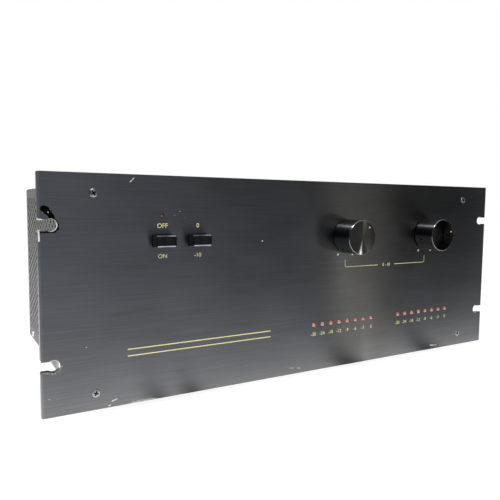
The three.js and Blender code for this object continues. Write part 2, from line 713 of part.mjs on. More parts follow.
// Buttons and switches, about the button's centre line
function pushButton() {
  const halfWidth = BUTTON_WIDTH / 2;
  const halfHeight = BUTTON_HEIGHT / 2;
  const faceWidth = halfWidth - BUTTON_SIDE_BEVEL;
  const faceHeight = halfHeight - BUTTON_TOP_BEVEL;
  const front = -BUTTON_REACH;
  const shoulder = front + BUTTON_BEVEL_DEPTH;
  const back = front + BUTTON_LENGTH;
  const side = [
    new THREE.Vector2(shoulder, -halfHeight),
    new THREE.Vector2(back, -halfHeight),
    new THREE.Vector2(back, halfHeight),
    new THREE.Vector2(shoulder, halfHeight),
    new THREE.Vector2(front, faceHeight),
    new THREE.Vector2(front, -faceHeight),
  ];
  const plan = [
    new THREE.Vector2(-halfWidth, shoulder),
    new THREE.Vector2(-faceWidth, front),
    new THREE.Vector2(faceWidth, front),
    new THREE.Vector2(halfWidth, shoulder),
    new THREE.Vector2(halfWidth, back),
    new THREE.Vector2(-halfWidth, back),
  ];
  const cap = alongX(side, -halfWidth, halfWidth).intersect(alongZ(plan, -halfHeight, halfHeight));
  const stem = STEM_WIDTH / 2;
  return cap.add(box(-stem, stem, back - OVERRUN, back + STEM_LENGTH, -stem, stem));
}

function pushSwitch() {
  const halfWidth = SWITCH_WIDTH / 2;
  const halfHeight = SWITCH_HEIGHT / 2;
  const halfPlate = SWITCH_PLATE_WIDTH / 2;
  const front = WALL_BACK + SWITCH_SETBACK;
  const back = front + SWITCH_DEPTH;
  const plateBack = front + SWITCH_PLATE_THICKNESS;
  const stem = STEM_WIDTH / 2 + SEAT_GAP;
  const stemEnd = BUTTON_LENGTH - BUTTON_REACH + STEM_LENGTH + BUTTON_TRAVEL + OVERRUN;
  const legs = [-1, 1].map((side) => {
    const outer = side * halfPlate;
    const inner = outer - side * SWITCH_LEG_THICKNESS;
    const [x0, x1] = [Math.min(inner, outer), Math.max(inner, outer)];
    return box(x0, x1, BEHIND_WALL, plateBack, -halfHeight, halfHeight);
  });
  const lugs = [-1, 1].flatMap((side) => [-1, 0, 1].map((row) => {
    const x = side * SWITCH_LUG_SPACING;
    const z = row * SWITCH_LUG_SPACING;
    const wide = SWITCH_LUG_WIDTH / 2;
    const thin = SWITCH_LUG_THICKNESS / 2;
    return box(x - thin, x + thin, back - OVERRUN, back + SWITCH_LUG_LENGTH, z - wide, z + wide);
  }));
  const body = box(-halfWidth, halfWidth, front, back, -halfHeight, halfHeight);
  const plate = box(-halfPlate, halfPlate, front, plateBack, -halfHeight, halfHeight);
  const cavity = box(-stem, stem, front - OVERRUN, stemEnd, -stem, stem);
  return cut(joined([body, plate, ...legs, ...lugs]), [cavity]);
}

// Lamps: a dome in front of a straight body, with a rim that stops behind the chassis wall
function lampProfile(tip, radius, rimRadius, rimBack) {
  const dome = Array.from({ length: DOME_STEPS }, (_, i) => {
    const angle = ((i + 1) / DOME_STEPS) * (Math.PI / 2);
    return [radius * Math.sin(angle), tip + radius * (1 - Math.cos(angle))];
  });
  return [
    [0, tip],
    ...dome,
    [radius, BEHIND_WALL],
    [rimRadius, BEHIND_WALL],
    [rimRadius, rimBack],
    [0, rimBack],
  ];
}

function powerLamp() {
  const rimBack = BEHIND_WALL + LAMP_HOLDER_LENGTH;
  return turnedY(lampProfile(LAMP_RECESS, LAMP_DIAMETER / 2, LAMP_HOLDER_DIAMETER / 2, rimBack), SMALL_SIDES);
}

function meterLamp() {
  const rimBack = BEHIND_WALL + METER_RIM_THICKNESS;
  const profile = lampProfile(
    -METER_LAMP_REACH, METER_LAMP_DIAMETER / 2, METER_LAMP_DIAMETER / 2 + METER_RIM_STEP, rimBack,
  );
  return turnedY(profile, SMALL_SIDES);
}

function displayBoard() {
  const x0 = meterPlaces(CHANNELS[0].x)[0] - DISPLAY_BOARD_MARGIN;
  const x1 = meterPlaces(CHANNELS[1].x).at(-1) + DISPLAY_BOARD_MARGIN;
  const z0 = METER_Z - DISPLAY_BOARD_HEIGHT / 2;
  const z1 = METER_Z + DISPLAY_BOARD_HEIGHT / 2;
  const front = BEHIND_WALL + METER_RIM_THICKNESS + SEAT_GAP;
  const back = front + BOARD_THICKNESS;
  const board = box(x0, x1, front, back, z0, z1);
  const spacers = [x0 + SPACER_INSET, x1 - SPACER_INSET].flatMap((x) => [z0 + SPACER_INSET, z1 - SPACER_INSET]
    .map((z) => rodY(SPACER_DIAMETER / 2, BEHIND_WALL, front + FINE_GAP, SMALL_SIDES).translate([x, 0, z])));
  const chips = CHANNELS.map(({ x }) => box(
    x - CHIP_LENGTH / 2, x + CHIP_LENGTH / 2, back - FINE_GAP, back + CHIP_THICKNESS,
    METER_Z - CHIP_HEIGHT / 2, METER_Z + CHIP_HEIGHT / 2,
  ));
  return joined([board, ...spacers, ...chips]);
}

// Level controls, about the shaft's axis
function levelKnob() {
  const radius = KNOB_DIAMETER / 2;
  const recess = POT_NUT_RADIUS + KNOB_RECESS_CLEARANCE;
  const bore = SHAFT_DIAMETER / 2 + FINE_GAP;
  const front = -KNOB_REACH;
  const back = -KNOB_STANDOFF;
  const recessEnd = back - KNOB_RECESS_DEPTH;
  const profile = [
    [0, front],
    [radius - KNOB_CHAMFER, front],
    [radius, front + KNOB_CHAMFER],
    [radius, back - KNOB_CHAMFER],
    [radius - KNOB_CHAMFER, back],
    [recess, back],
    [recess, recessEnd],
    [bore, recessEnd],
    [bore, -KNOB_BORE_END],
    [0, -KNOB_BORE_END],
  ];
  const pointer = rodY(POINTER_DIAMETER / 2, front - OVERRUN, front + POINTER_DEPTH, SMALL_SIDES)
    .translate([0, 0, radius - POINTER_INSET]);
  const screw = SET_SCREW_DIAMETER / 2;
  const below = -radius - OVERRUN;
  const setScrew = turnedZ([[0, below], [screw, below], [screw, 0], [0, 0]], SMALL_SIDES)
    .translate([0, SET_SCREW_Y, 0]);
  return cut(turnedY(profile, KNOB_SIDES), [pointer, setScrew]);
}

function levelShaft() {
  return rodY(SHAFT_DIAMETER / 2, SHAFT_END_GAP - KNOB_BORE_END, SHAFT_BACK_Y, ROUND_SIDES);
}

function levelPot() {
  const bodyBack = BEHIND_WALL + POT_DEPTH;
  const can = rodY(POT_DIAMETER / 2, BEHIND_WALL, bodyBack, ROUND_SIDES);
  const bushing = rodY(BUSHING_DIAMETER / 2, -BUSHING_REACH, bodyBack - OVERRUN, ROUND_SIDES);
  const nut = alongY(circle(0, 0, POT_NUT_RADIUS, NUT_SIDES), -SEAT_GAP - POT_NUT_THICKNESS, -SEAT_GAP);
  const lugs = box(
    -POT_LUG_WIDTH / 2, POT_LUG_WIDTH / 2, BEHIND_WALL + OVERRUN, BEHIND_WALL + OVERRUN + POT_LUG_THICKNESS,
    -POT_DIAMETER / 2 - POT_LUG_DROP, 0,
  );
  const boreRadius = SHAFT_DIAMETER / 2 + SEAT_GAP;
  const bore = rodY(boreRadius, -BUSHING_REACH - OVERRUN, SHAFT_BACK_Y + SEAT_GAP, ROUND_SIDES);
  return cut(joined([can, bushing, nut, lugs]), [bore]);
}

// Rear heatsinks: a plate with upright fins
function heatsink() {
  const half = HEATSINK_WIDTH / 2;
  const baseBack = BEHIND_CASE + HEATSINK_BASE;
  const pitch = (HEATSINK_WIDTH - FIN_THICKNESS) / (FIN_COUNT - 1);
  const fins = Array.from({ length: FIN_COUNT }, (_, i) => {
    const x = -half + i * pitch;
    return [
      new THREE.Vector2(x + FIN_THICKNESS, baseBack),
      new THREE.Vector2(x + FIN_THICKNESS, HEATSINK_BACK),
      new THREE.Vector2(x, HEATSINK_BACK),
      new THREE.Vector2(x, baseBack),
    ];
  });
  const outline = [
    new THREE.Vector2(-half, BEHIND_CASE),
    new THREE.Vector2(half, BEHIND_CASE),
    ...fins.reverse().flat().slice(1, -1),
  ];
  return alongZ(outline, HEATSINK_BOTTOM, HEATSINK_TOP);
}

function outputBoard() {
  const plateBack = CASE_BACK;
  const plateFront = plateBack - SPREADER_THICKNESS;
  const boardBack = plateFront - TRANSISTOR_LENGTH;
  const boardFront = boardBack - BOARD_THICKNESS;
  const halfWidth = SPREADER_WIDTH / 2;
  const halfHeight = SPREADER_HEIGHT / 2;
  const boardX = halfWidth + OUTPUT_BOARD_SIDE_REACH;
  const boardZ = halfHeight + OUTPUT_BOARD_TOP_REACH;
  const plate = box(-halfWidth, halfWidth, plateFront, plateBack, -halfHeight, halfHeight);
  const board = box(-boardX, boardX, boardFront, boardBack, -boardZ, boardZ);
  const transistors = [-1, 1].flatMap((side) => [-1, 1].map((up) => rodY(
    TRANSISTOR_DIAMETER / 2, boardBack - FINE_GAP, plateFront + FINE_GAP, ROUND_SIDES,
  ).translate([(side * TRANSISTOR_SPACING_X) / 2, 0, (up * TRANSISTOR_SPACING_Z) / 2])));
  const resistors = [-1, 0, 1].map((row) => box(
    -RESISTOR_LENGTH / 2, RESISTOR_LENGTH / 2, boardFront - RESISTOR_SIZE, boardFront + FINE_GAP,
    row * RESISTOR_SPACING - RESISTOR_SIZE / 2, row * RESISTOR_SPACING + RESISTOR_SIZE / 2,
  ));
  return joined([plate, board, ...transistors, ...resistors]);
}

// Power supply
function transformerCore() {
  const height = CORE_WINDOW_HEIGHT + 2 * CORE_LEG;
  const halfWidth = 3 * CORE_LEG;
  const halfStack = CORE_STACK / 2;
  const windows = [-1, 1].map((side) => rectangle(
    Math.min(side * CORE_LEG, side * 2 * CORE_LEG), Math.max(side * CORE_LEG, side * 2 * CORE_LEG),
    CORE_LEG, CORE_LEG + CORE_WINDOW_HEIGHT,
  ));
  const stack = alongY(rectangle(-halfWidth, halfWidth, 0, height), -halfStack, halfStack, windows);
  const feet = [-1, 1].map((side) => {
    const inner = side * (halfWidth - CORE_FOOT_REACH);
    const outer = side * halfWidth;
    return box(
      Math.min(inner, outer), Math.max(inner, outer),
      -halfStack - CORE_FOOT_REACH, halfStack + CORE_FOOT_REACH, 0, CORE_FOOT_THICKNESS,
    );
  });
  return joined([stack, ...feet]);
}

function transformerCoil() {
  const build = CORE_LEG - 2 * COIL_GAP;
  const innerX = CORE_LEG + COIL_GAP;
  const innerY = CORE_STACK / 2 + COIL_GAP;
  const outline = roundedRectangle(
    -innerX - build, innerX + build, -innerY - build, innerY + build, COIL_CORNER_RADIUS,
  );
  const inside = rectangle(-innerX, innerX, -innerY, innerY);
  return alongZ(outline, CORE_LEG + COIL_GAP, CORE_LEG + CORE_WINDOW_HEIGHT - COIL_GAP, [inside]);
}

function capacitor() {
  const radius = CAPACITOR_DIAMETER / 2;
  const post = CAPACITOR_POST_DIAMETER / 2;
  const can = turnedZ(
    [
      [0, 0],
      [radius, 0],
      [radius, CAPACITOR_HEIGHT],
      [radius - CAPACITOR_RIM, CAPACITOR_HEIGHT],
      [radius - CAPACITOR_RIM, CAPACITOR_HEIGHT - CAPACITOR_RIM],
      [0, CAPACITOR_HEIGHT - CAPACITOR_RIM],
    ],
    ROUND_SIDES,
  );
  const posts = [-1, 1].map((side) => {
    const top = CAPACITOR_HEIGHT + CAPACITOR_POST_HEIGHT;
    const foot = CAPACITOR_HEIGHT - 2 * CAPACITOR_RIM;
    return turnedZ([[0, foot], [post, foot], [post, top], [0, top]], SMALL_SIDES)
      .translate([(side * CAPACITOR_POST_SPACING) / 2, 0, 0]);
  });
  return joined([can, ...posts]);
}

function capacitorBracket() {
  const radius = CAPACITOR_DIAMETER / 2;
  const reach = radius + BRACKET_MARGIN;
  const [x0, x1] = [CAPACITOR_LEFT_X - reach, CAPACITOR_RIGHT_X + reach];
  const [y0, y1] = [CASE_MIDDLE - reach, CASE_MIDDLE + reach];
  const holes = [CAPACITOR_LEFT_X, CAPACITOR_RIGHT_X]
    .map((x) => hole(x, CASE_MIDDLE, radius + SEAT_GAP, ROUND_SIDES));
  const low = FLOOR_TOP + BRACKET_RISE;
  const plate = alongZ(rectangle(x0, x1, y0, y1), low, low + BRACKET_THICKNESS, holes);
  const legs = [x0, x1 - BRACKET_LEG].flatMap((x) => [y0, y1 - BRACKET_LEG]
    .map((y) => box(x, x + BRACKET_LEG, y, y + BRACKET_LEG, SEAT_ON_FLOOR, low + BRACKET_THICKNESS)));
  return joined([plate, ...legs]);
}

function bridgeRectifier() {
  const half = RECTIFIER_WIDTH / 2;
  const boltHole = hole(0, 0, RECTIFIER_HOLE_DIAMETER / 2, SMALL_SIDES);
  const block = alongZ(rectangle(-half, half, -half, half), 0, RECTIFIER_HEIGHT, [boltHole]);
  const tabs = [-1, 1].flatMap((side) => [-1, 1].map((depth) => {
    const x = side * (half - RECTIFIER_TAB_INSET);
    const y = depth * (half - RECTIFIER_TAB_INSET);
    const wide = RECTIFIER_TAB_WIDTH / 2;
    const thin = RECTIFIER_TAB_THICKNESS / 2;
    const top = RECTIFIER_HEIGHT + RECTIFIER_TAB_HEIGHT;
    return box(x - wide, x + wide, y - thin, y + thin, RECTIFIER_HEIGHT - OVERRUN, top);
  }));
  return joined([block, ...tabs]);
}

// Rear connectors
function inputJack() {
  const barrel = JACK_BARREL_DIAMETER / 2;
  const flange = JACK_FLANGE_DIAMETER / 2;
  const neck = JACK_NECK_DIAMETER / 2;
  const bore = JACK_BORE_DIAMETER / 2;
  const flangeBack = BEHIND_CASE + JACK_FLANGE_THICKNESS;
  const tip = flangeBack + JACK_BARREL_LENGTH;
  const neckFront = REAR_FRONT - JACK_NECK_LENGTH;
  return turnedY(
    [
      [0, neckFront],
      [neck, neckFront],
      [neck, BEHIND_CASE],
      [flange, BEHIND_CASE],
      [flange, flangeBack],
      [barrel, flangeBack],
      [barrel, tip],
      [bore, tip],
      [bore, tip - JACK_BORE_DEPTH],
      [0, tip - JACK_BORE_DEPTH],
    ],
    ROUND_SIDES,
  );
}

function terminalBlock() {
  const halfWidth = TERMINAL_PLATE_WIDTH / 2;
  const halfHeight = TERMINAL_PLATE_HEIGHT / 2;
  const plateBack = BEHIND_CASE + TERMINAL_PLATE_THICKNESS;
  const collarBack = plateBack + COLLAR_LENGTH;
  const outline = roundedRectangle(-halfWidth, halfWidth, -halfHeight, halfHeight, TERMINAL_PLATE_RADIUS);
  const plate = alongY(outline, BEHIND_CASE, plateBack);
  const posts = terminalPlaces().map((x) => {
    const collar = COLLAR_DIAMETER / 2;
    const stud = STUD_DIAMETER / 2;
    const tailFront = REAR_FRONT - STUD_TAIL;
    const profile = [
      [0, tailFront],
      [stud, tailFront],
      [stud, plateBack - OVERRUN],
      [collar, plateBack - OVERRUN],
      [collar, collarBack],
      [stud, collarBack],
      [stud, collarBack + STUD_LENGTH],
      [0, collarBack + STUD_LENGTH],
    ];
    return turnedY(profile, SMALL_SIDES).translate([x, 0, 0]);
  });
  return joined([plate, ...posts]);
}

function terminalCap() {
  const radius = CAP_DIAMETER / 2;
  const bore = STUD_DIAMETER / 2 + SEAT_GAP;
  const front = BEHIND_CASE + TERMINAL_PLATE_THICKNESS + COLLAR_LENGTH + SEAT_GAP;
  const boreEnd = front + STUD_LENGTH + STUD_END_GAP;
  const back = boreEnd + CAP_CROWN;
  return turnedY(
    [
      [bore, front],
      [radius, front],
      [radius, back - CAP_CHAMFER],
      [radius - CAP_CHAMFER, back],
      [0, back],
      [0, boreEnd],
      [bore, boreEnd],
      [bore, front],
    ],
    ROUND_SIDES,
  );
}

function fuseHolder() {
  const body = FUSE_BODY_DIAMETER / 2;
  const flange = FUSE_FLANGE_DIAMETER / 2;
  const bore = FUSE_BORE_DIAMETER / 2;
  const flangeBack = BEHIND_CASE + FUSE_FLANGE_THICKNESS;
  const front = REAR_FRONT - FUSE_BODY_LENGTH;
  return turnedY(
    [
      [0, front],
      [body, front],
      [body, BEHIND_CASE],
      [flange, BEHIND_CASE],
      [flange, flangeBack],
      [bore, flangeBack],
      [bore, flangeBack - FUSE_BORE_DEPTH],
      [0, flangeBack - FUSE_BORE_DEPTH],
    ],
    ROUND_SIDES,
  );
}

function fuseCap() {
  const radius = FUSE_CAP_DIAMETER / 2;
  const carrier = FUSE_BORE_DIAMETER / 2 - SEAT_GAP;
  const flangeBack = BEHIND_CASE + FUSE_FLANGE_THICKNESS;
  const carrierTip = flangeBack - FUSE_BORE_DEPTH + FUSE_END_GAP;
  const seat = flangeBack + SEAT_GAP;
  const back = seat + FUSE_CAP_LENGTH;
  const body = turnedY(
    [
      [0, carrierTip],
      [carrier, carrierTip],
      [carrier, seat],
      [radius, seat],
      [radius, back - CAP_CHAMFER],
      [radius - CAP_CHAMFER, back],
      [0, back],
    ],
    ROUND_SIDES,
  );
  const slotHalf = FUSE_SLOT_WIDTH / 2;
  const slot = box(-radius, radius, back - FUSE_SLOT_DEPTH, back + OVERRUN, -slotHalf, slotHalf);
  return cut(body, [slot]);
}

function cordGland() {
  const bore = GLAND_BORE_DIAMETER / 2;
  const neck = GLAND_NECK_DIAMETER / 2;
  const flange = neck + GLAND_FLANGE_STEP;
  const latch = neck + GLAND_LATCH_STEP;
  const latchBack = REAR_FRONT - SEAT_GAP;
  const latchFront = latchBack - GLAND_LATCH_THICKNESS;
  const flangeBack = BEHIND_CASE + GLAND_FLANGE_THICKNESS;
  return turnedY(
    [
      [bore, latchFront],
      [neck, latchFront],
      [latch, latchBack],
      [neck, latchBack],
      [neck, BEHIND_CASE],
      [flange, BEHIND_CASE],
      [flange, flangeBack],
      [bore, flangeBack],
      [bore, latchFront],
    ],
    ROUND_SIDES,
  );
}

// Front
addPiece('front_panel', frontPanel(), 'blackAnodised');
SCREW_PLACES.forEach(([x, z], i) => {
  addPiece(`panel_screw_${i + 1}`, panelScrew(), 'platedSteel', [x, 0, z]);
});
[['power', POWER_BUTTON_X], ['display', DISPLAY_BUTTON_X]].forEach(([use, x]) => {
  addPiece(`${use}_button`, pushButton(), 'blackPlastic', [x, 0, BUTTON_Z]);
  addPiece(`${use}_switch`, pushSwitch(), 'platedSteel', [x, 0, BUTTON_Z]);
});
addPiece('power_lamp', powerLamp(), 'redLens', [POWER_BUTTON_X, 0, LAMP_Z]);
CHANNELS.forEach(({ side, x, degrees }) => {
  const knob = addPiece(`${side}_level_knob`, levelKnob(), 'blackKnob', [x, 0, KNOB_Z]);
  knob.rotation.y = THREE.MathUtils.degToRad(degrees);
  addPiece(`${side}_level_shaft`, levelShaft(), 'brightSteel', [x, 0, KNOB_Z]);
  addPiece(`${side}_level_pot`, levelPot(), 'platedSteel', [x, 0, KNOB_Z]);
  meterPlaces(x).forEach((place, i) => {
    addPiece(`${side}_meter_lamp_${i + 1}`, meterLamp(), 'redLens', [place, 0, METER_Z]);
  });
});
addPiece('display_board', displayBoard(), 'board');

// Case
addPiece('chassis_tray', chassisTray(), 'platedSteel');
addPiece('perforated_cover', perforatedCover(), 'blackPaint');
addPiece('rear_panel', rearPanel(), 'blackPaint');
const footX = CASE_WIDTH / 2 - FOOT_INSET;
const footBackY = CASE_BACK - FOOT_INSET;
[['front_left', -footX, FOOT_FRONT_Y], ['front_right', footX, FOOT_FRONT_Y],
  ['back_left', -footX, footBackY], ['back_right', footX, footBackY]].forEach(([corner, x, y]) => {
  addPiece(`${corner}_foot`, foot(), 'rubber', [x, y, FOOT_BOTTOM]);
});

// Amplifier channels and power supply
[['left', -HEATSINK_X], ['right', HEATSINK_X]].forEach(([side, x]) => {
  addPiece(`${side}_heatsink`, heatsink(), 'blackAnodised', [x, 0, 0]);
  addPiece(`${side}_output_board`, outputBoard(), 'board', [x, 0, SPREADER_Z]);
});
const transformerPlace = [TRANSFORMER_X, CASE_MIDDLE, SEAT_ON_FLOOR];
addPiece('transformer_core', transformerCore(), 'core', transformerPlace);
addPiece('transformer_coil', transformerCoil(), 'coil', transformerPlace);
addPiece('left_capacitor', capacitor(), 'sleeve', [CAPACITOR_LEFT_X, CASE_MIDDLE, SEAT_ON_FLOOR]);
addPiece('right_capacitor', capacitor(), 'sleeve', [CAPACITOR_RIGHT_X, CASE_MIDDLE, SEAT_ON_FLOOR]);
addPiece('capacitor_bracket', capacitorBracket(), 'platedSteel');
addPiece('bridge_rectifier', bridgeRectifier(), 'phenolic', [RECTIFIER_X, CASE_MIDDLE, SEAT_ON_FLOOR]);

// Rear connectors
addPiece('left_input_jack', inputJack(), 'brass', [-JACK_SPREAD / 2, 0, JACK_Z]);
addPiece('right_input_jack', inputJack(), 'brass', [JACK_SPREAD / 2, 0, JACK_Z]);
addPiece('speaker_terminal_block', terminalBlock(), 'phenolic', [0, 0, TERMINAL_Z]);
const CAP_NAMES = ['left_black', 'left_red', 'right_black', 'right_red'];
terminalPlaces().forEach((x, i) => {
  const finish = i % 2 ? 'redPlastic' : 'blackPlastic';
  addPiece(`${CAP_NAMES[i]}_terminal_cap`, terminalCap(), finish, [x, 0, TERMINAL_Z]);
});
addPiece('fuse_holder', fuseHolder(), 'blackPlastic', [FUSE_X, 0, FUSE_Z]);
addPiece('fuse_cap', fuseCap(), 'blackPlastic', [FUSE_X, 0, FUSE_Z]);
addPiece('cord_gland', cordGland(), 'blackPlastic', [GLAND_X, 0, FUSE_Z]);

amplifier.position.set(0, (KNOB_REACH - HEATSINK_BACK) / 2, -FOOT_BOTTOM);

export default amplifier;
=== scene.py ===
"""Looks of a stereo power amplifier with a 19 inch rack panel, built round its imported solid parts.

Pieces are drawn in millimetres in the panel's own space: x from the panel's centre line, y back from its
front face and z up from its lower edge. Each piece becomes metres in the shared frame when it is placed.
"""

import math

import bmesh
import bpy
from mathutils import Matrix, Vector
from mathutils.geometry import tessellate_polygon


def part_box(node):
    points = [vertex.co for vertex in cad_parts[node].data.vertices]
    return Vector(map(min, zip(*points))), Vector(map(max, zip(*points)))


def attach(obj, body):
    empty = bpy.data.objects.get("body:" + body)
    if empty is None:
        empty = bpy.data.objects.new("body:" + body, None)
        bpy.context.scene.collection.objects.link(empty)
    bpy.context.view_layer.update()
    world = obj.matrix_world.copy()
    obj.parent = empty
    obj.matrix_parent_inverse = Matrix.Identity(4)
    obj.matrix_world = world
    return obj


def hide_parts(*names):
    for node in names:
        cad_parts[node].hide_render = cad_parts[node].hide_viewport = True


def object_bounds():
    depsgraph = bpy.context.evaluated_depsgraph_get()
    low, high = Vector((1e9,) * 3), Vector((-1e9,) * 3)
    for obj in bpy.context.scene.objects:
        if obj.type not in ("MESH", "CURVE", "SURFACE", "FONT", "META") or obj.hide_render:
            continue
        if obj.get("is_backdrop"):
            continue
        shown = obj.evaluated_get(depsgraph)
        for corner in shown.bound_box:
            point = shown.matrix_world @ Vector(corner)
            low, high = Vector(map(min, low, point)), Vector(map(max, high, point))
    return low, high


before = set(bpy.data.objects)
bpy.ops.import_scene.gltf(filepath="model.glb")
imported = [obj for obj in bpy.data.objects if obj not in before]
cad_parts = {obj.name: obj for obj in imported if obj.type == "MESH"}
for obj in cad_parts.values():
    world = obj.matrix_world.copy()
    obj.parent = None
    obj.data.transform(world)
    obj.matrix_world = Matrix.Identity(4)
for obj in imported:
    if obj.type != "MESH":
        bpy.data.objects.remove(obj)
cad_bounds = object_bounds()

MM = 0.001
panel_low, panel_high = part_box("front_panel")
ORIGIN = Vector((0, panel_low.y, panel_low.z))
CASE = "amplifier"


def span(node):
    """Lowest and highest corner of a solid part, in panel millimetres."""
    return [(corner - ORIGIN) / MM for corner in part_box(node)]


def middle(node):
    low, high = span(node)
    return (low + high) / 2


def in_scene(name, data):
    """A new object that shows a mesh, light or camera."""
    made = bpy.data.objects.new(name, data)
    bpy.context.scene.collection.objects.link(made)
    return made


# Meshes
class Shell:
    """Points and faces of a mesh, in millimetres. kind and flat belong to the faces added next."""

    def __init__(self):
        self.points = []
        self.faces = []
        self.kinds = []
        self.smooth = []
        self.kind = 0
        self.flat = False

    def ring(self, points):
        start = len(self.points)
        self.points.extend(tuple(point) for point in points)
        return list(range(start, len(self.points)))

    def face(self, corners):
        self.faces.append(tuple(corners))
        self.kinds.append(self.kind)
        self.smooth.append(not self.flat)

    def bridge(self, near, far):
        """Joins two rings of as many points, or a ring and a single point."""
        count = max(len(near), len(far))
        near, far = [ring * count if len(ring) == 1 else ring for ring in (near, far)]
        for i in range(count):
            k = (i + 1) % count
            self.face(dict.fromkeys((near[i], near[k], far[k], far[i])))

    def mesh(self, name, *materials, sharp=30):
        mesh = bpy.data.meshes.new(name)
        mesh.from_pydata([Vector(point) * MM for point in self.points], [], self.faces)
        for material in materials:
            mesh.materials.append(material)
        mesh.polygons.foreach_set("material_index", self.kinds)
        mesh.polygons.foreach_set("use_smooth", self.smooth)
        shape = bmesh.new()
        shape.from_mesh(mesh)
        bmesh.ops.recalc_face_normals(shape, faces=shape.faces)
        shape.to_mesh(mesh)
        shape.free()
        mesh.set_sharp_from_angle(angle=math.radians(sharp))
        return mesh


def circle(x, z, radius, sides):
    angles = [math.tau * k / sides for k in range(sides)]
    return [(x + radius * math.cos(a), z + radius * math.sin(a)) for a in angles]


def arc(x, z, radius, start, end, steps):
    angles = [math.radians(start + (end - start) * k / steps) for k in range(steps + 1)]
    return [(x + radius * math.cos(a), z + radius * math.sin(a)) for a in angles]


def rounded(width, height, radius, x=0, z=0):
    """A rectangle with round corners, drawn anticlockwise about its middle."""
    u, v = width / 2 - radius, height / 2 - radius
    corners = [(u, v, 0), (-u, v, 90), (-u, -v, 180), (u, -v, 270)]
    return [p for cx, cz, a in corners for p in arc(x + cx, z + cz, radius, a, a + 90, 4)]


def inset(outline, distance):
    """A closed outline, drawn anticlockwise, with each side moved inwards by a distance."""
    moved = []
    for i, (x, z) in enumerate(outline):
        x0, z0 = outline[i - 1]
        x1, z1 = outline[(i + 1) % len(outline)]
        before = Vector((x - x0, z - z0)).normalized()
        after = Vector((x1 - x, z1 - z)).normalized()
        side = Vector((-before.y - after.y, before.x + after.x))
        side *= 2 * distance / side.length_squared
        moved.append((x + side.x, z + side.y))
    return moved


def layers(shell, outline, steps):
    """Rings of one outline, front to back. Each step is (how far it is drawn in, its y)."""
    return [shell.ring((x, y, z) for x, z in inset(outline, draw)) for draw, y in steps]


def plate(shell, rings, holes=(), side=0):
    """A flat body from rings that run from front to back, with holes through it."""
    shell.kind = side
    for loops in (rings, *holes):
        for near, far in zip(loops, loops[1:]):
            shell.bridge(near, far)
    shell.kind = 0
    shell.flat = True
    for end in (0, -1):
        loops = [rings[end], *[loops[end] for loops in holes]]
        corners = [corner for loop in loops for corner in loop]
        flat = [[(shell.points[c][0], shell.points[c][2]) for c in loop] for loop in loops]
        for triangle in tessellate_polygon(flat):
            shell.face(corners[k] for k in triangle)
    shell.flat = False


def slab(shell, outline, y0, y1, edge):
    """An outline pushed out from y0 to y1, with its edges eased."""
    steps = [(edge, y0), (0.3 * edge, y0 + 0.3 * edge), (0, y0 + edge)]
    steps += [(0, y1 - edge), (0.3 * edge, y1 - 0.3 * edge), (edge, y1)]
    plate(shell, layers(shell, outline, steps))


def turned(shell, profile, sides, centre=(0, 0, 0), axis="Y", flutes=0, flute=0.0):
    """A body turned about an axis, from (radius, place along the axis) pairs. A kind can follow a pair."""
    cx, cy, cz = centre
    rings = []
    for radius, along, *_ in profile:
        points = []
        for k in range(sides if radius > 0 else 1):
            angle = math.tau * k / sides
            wide = radius - flute * abs(math.sin(flutes * angle / 2))
            u, v = wide * math.cos(angle), wide * math.sin(angle)
            x, y, z = (u, along, v) if axis == "Y" else (u, v, along)
            points.append((cx + x, cy + y, cz + z))
        rings.append(shell.ring(points))
    for i, (near, far) in enumerate(zip(rings, rings[1:])):
        _, along, *kind = profile[i]
        shell.kind = kind[0] if kind else shell.kind
        shell.flat = along == profile[i + 1][1]
        shell.bridge(near, far)
    shell.flat = False


def lathe(name, profile, sides, *materials, sharp=30, **settings):
    """A mesh that is turned about an axis."""
    shell = Shell()
    turned(shell, profile, sides, **settings)
    return shell.mesh(name, *materials, sharp=sharp)


def turned_part(node, front, back, sides, *materials, **settings):
    """A turned mesh as long as a solid part. Places along it are measured in from its front or back end."""
    low, high = span(node)
    profile = [(radius, low.y + along, *kind) for radius, along, *kind in front]
    profile += [(radius, high.y - along, *kind) for radius, along, *kind in back]
    return lathe(node, profile, sides, *materials, **settings)


def block(x0, x1, y0, y1, z0, z1):
    """The mesh of a plain box, to cut with."""
    shell = Shell()
    plate(shell, layers(shell, [(x0, z0), (x1, z0), (x1, z1), (x0, z1)], [(0, y0), (0, y1)]))
    return shell.mesh("block")


def cut_away(mesh, cutter, sharp=30):
    """The mesh with another taken out of it. Faces of the cut keep the cutter's material number."""
    target = in_scene("target", mesh)
    tool = in_scene("tool", cutter)
    boolean = target.modifiers.new("cut", "BOOLEAN")
    boolean.operation = "DIFFERENCE"
    boolean.solver = "EXACT"
    boolean.object = tool
    bpy.context.view_layer.update()
    evaluated = target.evaluated_get(bpy.context.evaluated_depsgraph_get())
    result = bpy.data.meshes.new_from_object(evaluated)
    result.name = mesh.name
    bpy.data.objects.remove(target)
    bpy.data.objects.remove(tool)
    result.set_sharp_from_angle(angle=math.radians(sharp))
    return result


def piece(name, mesh, body=CASE, at=(0, 0, 0), slot=None, replaces=(), turn=0.0):
    """Places a mesh on a body as a piece of the object. turn is in degrees, clockwise from the front."""
    shown = in_scene(name, mesh)
    shown.location = ORIGIN + Vector(at) * MM
    shown.rotation_euler.y = math.radians(turn)
    even = shown.modifiers.new("even", "WEIGHTED_NORMAL")
    even.keep_sharp = True
    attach(shown, body)
    if replaces:
        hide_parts(*replaces)
    return shown


def stand_in(node, look, mesh, slot, body=CASE, turn=0.0):
    """Places a mesh about the axis of the solid part that it replaces."""
    x, _, z = middle(node)
    piece(f"{node}_{look}", mesh, body, (x, 0, z), slot, [node], turn)


# Materials
def operation(kind):
    """A method that works out a field from itself and other values, in one shader node."""
    return lambda field, *others: field.math(kind, field, *others)


